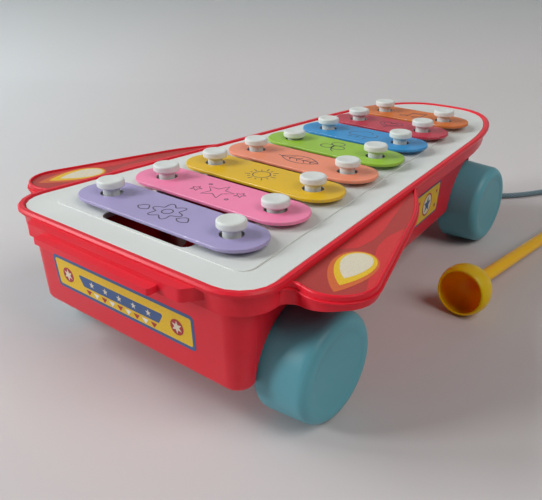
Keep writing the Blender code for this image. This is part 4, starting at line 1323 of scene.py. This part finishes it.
class TOY_OT_mallet(bpy.types.Operator):
    """Yellow mallet with a hollow head that flows into its stick"""

    bl_idname = "toy.mallet"
    bl_label = "Mallet"

    def execute(self, context):
        head, mouth, wall, stick, end = 0.0137, 0.0058, 0.0011, 0.0036, 0.1520
        neck_radius, flare_run, glow = 0.0051, 0.0090, 0.0060
        place, turn = (0.0858, 0.1581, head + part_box("mallet")[0][2]), math.radians(2.6)
        profile = [(0.0, end)] + arc(stick, 80.0, 0.0, 8, (0.0, end - stick))
        neck = math.sqrt(head ** 2 - neck_radius ** 2)
        for share in (0.0, 0.25, 0.5, 0.75):
            flare = (neck_radius - stick) * share ** 2.2
            profile.append((stick + flare, neck + flare_run * (1 - share)))
        first = math.degrees(math.acos(neck_radius / head))
        last = -math.degrees(math.asin(mouth / head))
        profile += arc(head, first, last + 1.5, 18)
        lip = (math.sqrt(head ** 2 - mouth ** 2) + math.sqrt((head - wall) ** 2 - mouth ** 2)) / 2
        profile += [(lip + wall * 0.36, -mouth - 0.00002), (lip - wall * 0.30, -mouth - 0.00002)]
        profile += arc(head - wall, -math.degrees(math.asin(mouth / (head - wall))) + 1.5, 90.0, 14)
        mallet = lathe("mallet_moulding", profile, 64)
        # The deep mark grows into the cup from its mouth and carries a painted orange glow that stands in for
        # light through the head's wall.
        deep = mallet.data.attributes.new("deep", "FLOAT", "POINT")
        for vert, mark in zip(mallet.data.vertices, deep.data):
            inside = vert.co.length < head - wall * 0.7 and vert.co.z < head
            mark.value = min(max((vert.co.z + mouth) / glow, 0.0), 1.0) if inside else 0.0
        droop = math.asin((head - stick) / (end - stick))
        laid = Matrix.Rotation(-turn, 4, "Z") @ Matrix.Rotation(-math.pi / 2 - droop, 4, "X")
        mallet.data.transform(Matrix.Translation(in_frame([place])[0]) @ laid)
        yellow = tuple(context.scene.toy_body.yellow)
        # The second colour is the painted glow inside the cup.
        finish = moulded_plastic("yellow_moulding", yellow, 0.30, (1.0, 0.37, 0.001), 0.16)
        dress(mallet, "mallet", finish)
        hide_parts("mallet")
        return {"FINISHED"}


class Sheet:
    """A flat label that grows in layers on one face: every layer is an outline with its own ink."""

    def __init__(self, name, origin, across, along, step=0.00003):
        self.name = name
        self.origin = Vector(origin)
        self.across = Vector(across).normalized()
        self.along = Vector(along).normalized()
        self.out = self.across.cross(self.along).normalized()
        self.step = step
        self.shape = bmesh.new()
        self.inks = []
        self.level = 0

    def layer(self, outlines, ink, fresh=True):
        """Adds outlines, in metres on the face, as thin tiles one step above the last layer."""
        if fresh:
            self.level += 1
        if ink not in self.inks:
            self.inks.append(ink)
        low = self.out * (self.step if self.level == 1 else self.step * self.level * 0.98)
        high = self.out * self.step * (self.level + 1)
        for outline in outlines:
            base = [self.origin + self.across * x + self.along * y for x, y in outline]
            bottom = [self.shape.verts.new(p + low) for p in base]
            top = [self.shape.verts.new(p + high) for p in base]
            faces = [self.shape.faces.new(top), self.shape.faces.new(list(reversed(bottom)))]
            for face in faces + skin(self.shape, [bottom, top]):
                face.material_index = self.inks.index(ink)

    def done(self, body):
        """Makes the label a piece that rides on its body."""
        bmesh.ops.triangulate(self.shape, faces=self.shape.faces)
        bmesh.ops.recalc_face_normals(self.shape, faces=self.shape.faces)
        thing = from_bmesh(self.name, self.shape, 20.0)
        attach(thing, body)
        for ink in self.inks:
            thing.data.materials.append(ink)
        return thing


def ribbon(points):
    """An outline round a line of (x, y, width) points."""
    left, right = [], []
    for index, (x, y, width) in enumerate(points):
        before = Vector(points[max(index - 1, 0)][:2])
        after = Vector(points[min(index + 1, len(points) - 1)][:2])
        along = (after - before).normalized()
        square = Vector((-along.y, along.x)) * width / 2
        left.append(tuple(Vector((x, y)) + square))
        right.append(tuple(Vector((x, y)) - square))
    return left + right[::-1]


def flame(tip, root, half, steps=28):
    """A teardrop from a pointed tip to a round root."""
    tip, root = Vector(tip), Vector(root)
    along = root - tip
    square = Vector((-along.y, along.x)).normalized()
    outline = []
    for step in range(steps):
        t = 2 * math.pi * step / steps
        share = (1 - math.cos(t)) / 2
        bulge = math.sin(t) * math.sin(t / 2) ** 0.8
        outline.append(tuple(tip + along * share + square * half * bulge * 1.25))
    return outline


LABEL_INKS = {
    "dusk_red": (0.420, 0.048, 0.042),
    "brick": (0.62, 0.040, 0.042),
    "orange": (0.63, 0.14, 0.040),
    "yellow": (0.76, 0.49, 0.025),
    "cream": (0.70, 0.64, 0.49),
    "blue": (0.055, 0.110, 0.260),
    "red": (0.40, 0.040, 0.045),
    "white": (0.78, 0.78, 0.74),
}
# A streak is a line of (x, y, width); a flame is its tip, its root, half its width and its ink.
WING_STREAKS = (
    ((0.0697, 0.0590, 0.0004), (0.0722, 0.0650, 0.0060), (0.0721, 0.0750, 0.0080), (0.0705, 0.0860, 0.0078),
     (0.0680, 0.0990, 0.0056), (0.0648, 0.1170, 0.0026), (0.0626, 0.1320, 0.0003)),
    ((0.0968, 0.0360, 0.0004), (0.0942, 0.0450, 0.0036), (0.0916, 0.0530, 0.0042), (0.0877, 0.0620, 0.0060),
     (0.0840, 0.0720, 0.0072), (0.0815, 0.0820, 0.0054), (0.0803, 0.0930, 0.0004)),
)
WING_FLAMES = (
    ((0.0880, 0.0288), (0.0792, 0.0632), 0.0090, "orange"),
    ((0.0868, 0.0342), (0.0797, 0.0625), 0.0076, "yellow"),
    ((0.0852, 0.0396), (0.0799, 0.0615), 0.0060, "cream"),
)


class TOY_OT_labels(bpy.types.Operator):
    """Printed labels on the wings, the tail and the sides, with a plain design of their own"""

    bl_idname = "toy.labels"
    bl_label = "Labels"

    def execute(self, context):
        inks = {name: printed_label(f"label_{name}", colour) for name, colour in LABEL_INKS.items()}
        for sign, side in ((1, "right"), (-1, "left")):
            self.wing_label(inks, sign, side)
            self.side_label(inks, sign, side)
        self.tail_label(inks)
        return {"FINISHED"}

    @staticmethod
    def wing_label(inks, sign, side):
        """Dusk field, two streaks and a flame on a wing's panel."""
        label = Sheet(f"wing_label_{side}", (TOY_X, TOY_Y, WING_PANEL), (1, 0, 0), (0, 1, 0))

        def on_side(outline):
            """An outline of the right wing, for this side."""
            return [(sign * x, y) for x, y in outline][::sign]
        label.layer([on_side(wing_outline(WING_LIP + 0.0002))], inks["dusk_red"])
        label.layer([on_side(ribbon(streak)) for streak in WING_STREAKS], inks["brick"])
        for tip, root, half, ink in WING_FLAMES:
            label.layer([on_side(flame(tip, root, half))], inks[ink])
        label.done("cart")

    @staticmethod
    def tub_lean(z):
        """How far the tub's walls lean in at a height."""
        top, bottom = TUB_HEIGHTS
        return TUB_LEAN * (top - z) / (top - bottom)

    def side_label(self, inks, sign, side):
        """A small yellow label with a star in a ring, on the tub's side."""
        low, high, y, wide, border = 0.0333, 0.0525, 0.1860, 0.0185, 0.0009
        z, half = (low + high) / 2, (high - low) / 2

        def on_tub(y, z):
            """The tub's wall on this side."""
            return Vector((sign * plan_half(y, TUB_SIDE_IN + self.tub_lean(z)), y, z))
        spot = on_tub(y, z)
        ahead, above = on_tub(y + 0.01, z) - spot, on_tub(y, z + 0.01) - spot
        label = Sheet(f"side_label_{side}", in_frame([spot])[0], ahead * sign, above)
        spots = [(x, y) for x in (-0.0130, 0.0130) for y in (-0.0045, 0.0045)]
        for outlines, ink in (
            ([panel(wide, half, 0.002)], "blue"),
            ([panel(wide - border, half - border, 0.0014)], "yellow"),
            ([ring(0.0068, 40)[:-1]], "red"),
            ([ring(0.0058, 40)[:-1]], "cream"),
            ([star(0.0050, 0.0021)[:-1]], "blue"),
            ([star(0.0016, 0.0007, centre=spot)[:-1] for spot in spots], "red"),
        ):
            label.layer(outlines, inks[ink])
        label.done("cart")

    def tail_label(self, inks):
        """A long label on the tail: a blue border, a yellow field, a banner of stars and bunting."""
        x, z, half, wide, corner_in = -0.0029, 0.04275, 0.0081, 0.0442, 0.0010
        banner_top, banner_foot, banner_half = 0.0270, 0.0240, 0.0026
        flag, flag_top, flag_low, flag_step, flags = 0.0019, -0.0036, -0.0060, 0.0052, 9
        ends = ((-0.0345, -0.0002), (0.0345, -0.0002))

        def on_tub(z):
            """The tub's tail wall."""
            return Vector((x, TUB_TAIL_IN + self.tub_lean(z), z))

        def band(inset, radius):
            """The label's own outline, drawn in."""
            right, top = wide - inset, half - inset
            return rounded([(corner_in - right, -top, radius), (right, -top, radius),
                            (right, top, radius), (-right, top, radius)])
        above = on_tub(z + 0.01) - on_tub(z)
        label = Sheet("tail_label", in_frame([on_tub(z)])[0], (1, 0, 0), above)
        label.layer([band(0.0, 0.0020)], inks["blue"])
        label.layer([band(0.0016, 0.0010)], inks["yellow"])
        banner = [(-banner_foot, -banner_half), (banner_foot, -banner_half), (banner_top, banner_half),
                  (-banner_top, banner_half)]
        label.layer([rounded([(*corner, 0.0008) for corner in banner])], inks["blue"])
        stars = [(0.009 * step, 0.0) for step in range(-2, 3)]
        label.layer([star(0.0017, 0.0007, centre=spot)[:-1] for spot in stars], inks["cream"])
        tips = [flag_step * (index - (flags - 1) / 2) for index in range(flags)]
        bunting = [[(tip - flag, flag_top), (tip, flag_low), (tip + flag, flag_top)] for tip in tips]
        label.layer(bunting[0::2], inks["red"])
        label.layer(bunting[1::2], inks["white"], False)
        label.layer([ring(0.0036, 36, centre=spot)[:-1] for spot in ends], inks["red"])
        label.layer([star(0.0030, 0.0013, 6, spot)[:-1] for spot in ends], inks["cream"])
        label.done("cart")


class TOY_PT_panel(bpy.types.Panel):
    """Lists the toy's pieces in the order in which they are made"""

    bl_idname = "TOY_PT_panel"
    bl_label = "Toy metallophone"
    bl_space_type = "VIEW_3D"
    bl_region_type = "UI"
    bl_category = "Toy"

    def draw(self, context):
        layout = self.layout
        for group in GROUPS:
            box = layout.box()
            props = getattr(context.scene, group)
            for key in props.__annotations__:
                box.prop(props, key)
        for operator in OPERATORS:
            layout.operator(operator.bl_idname)


GROUPS = {"toy_body": ToyBody, "toy_bars": ToyBars, "toy_cord": ToyCord, "toy_stage": ToyStage}
OPERATORS = (
    TOY_OT_stage, TOY_OT_cord, TOY_OT_mouldings, TOY_OT_wings, TOY_OT_bars, TOY_OT_drawings, TOY_OT_pegs,
    TOY_OT_wheels, TOY_OT_fasteners, TOY_OT_mallet, TOY_OT_labels,
)
CLASSES = (*GROUPS.values(), *OPERATORS, TOY_PT_panel)


def register():
    """Registers the classes and the scene's settings."""
    for cls in CLASSES:
        bpy.utils.register_class(cls)
    for key, group in GROUPS.items():
        setattr(bpy.types.Scene, key, bpy.props.PointerProperty(type=group))


def unregister():
    """Removes the settings and the classes."""
    for key in GROUPS:
        delattr(bpy.types.Scene, key)
    for cls in reversed(CLASSES):
        bpy.utils.unregister_class(cls)


def main():
    """Makes every piece in order."""
    register()
    for operator in OPERATORS:
        group, name = operator.bl_idname.split(".")
        getattr(getattr(bpy.ops, group), name)()


if __name__ == "__main__":
    main()
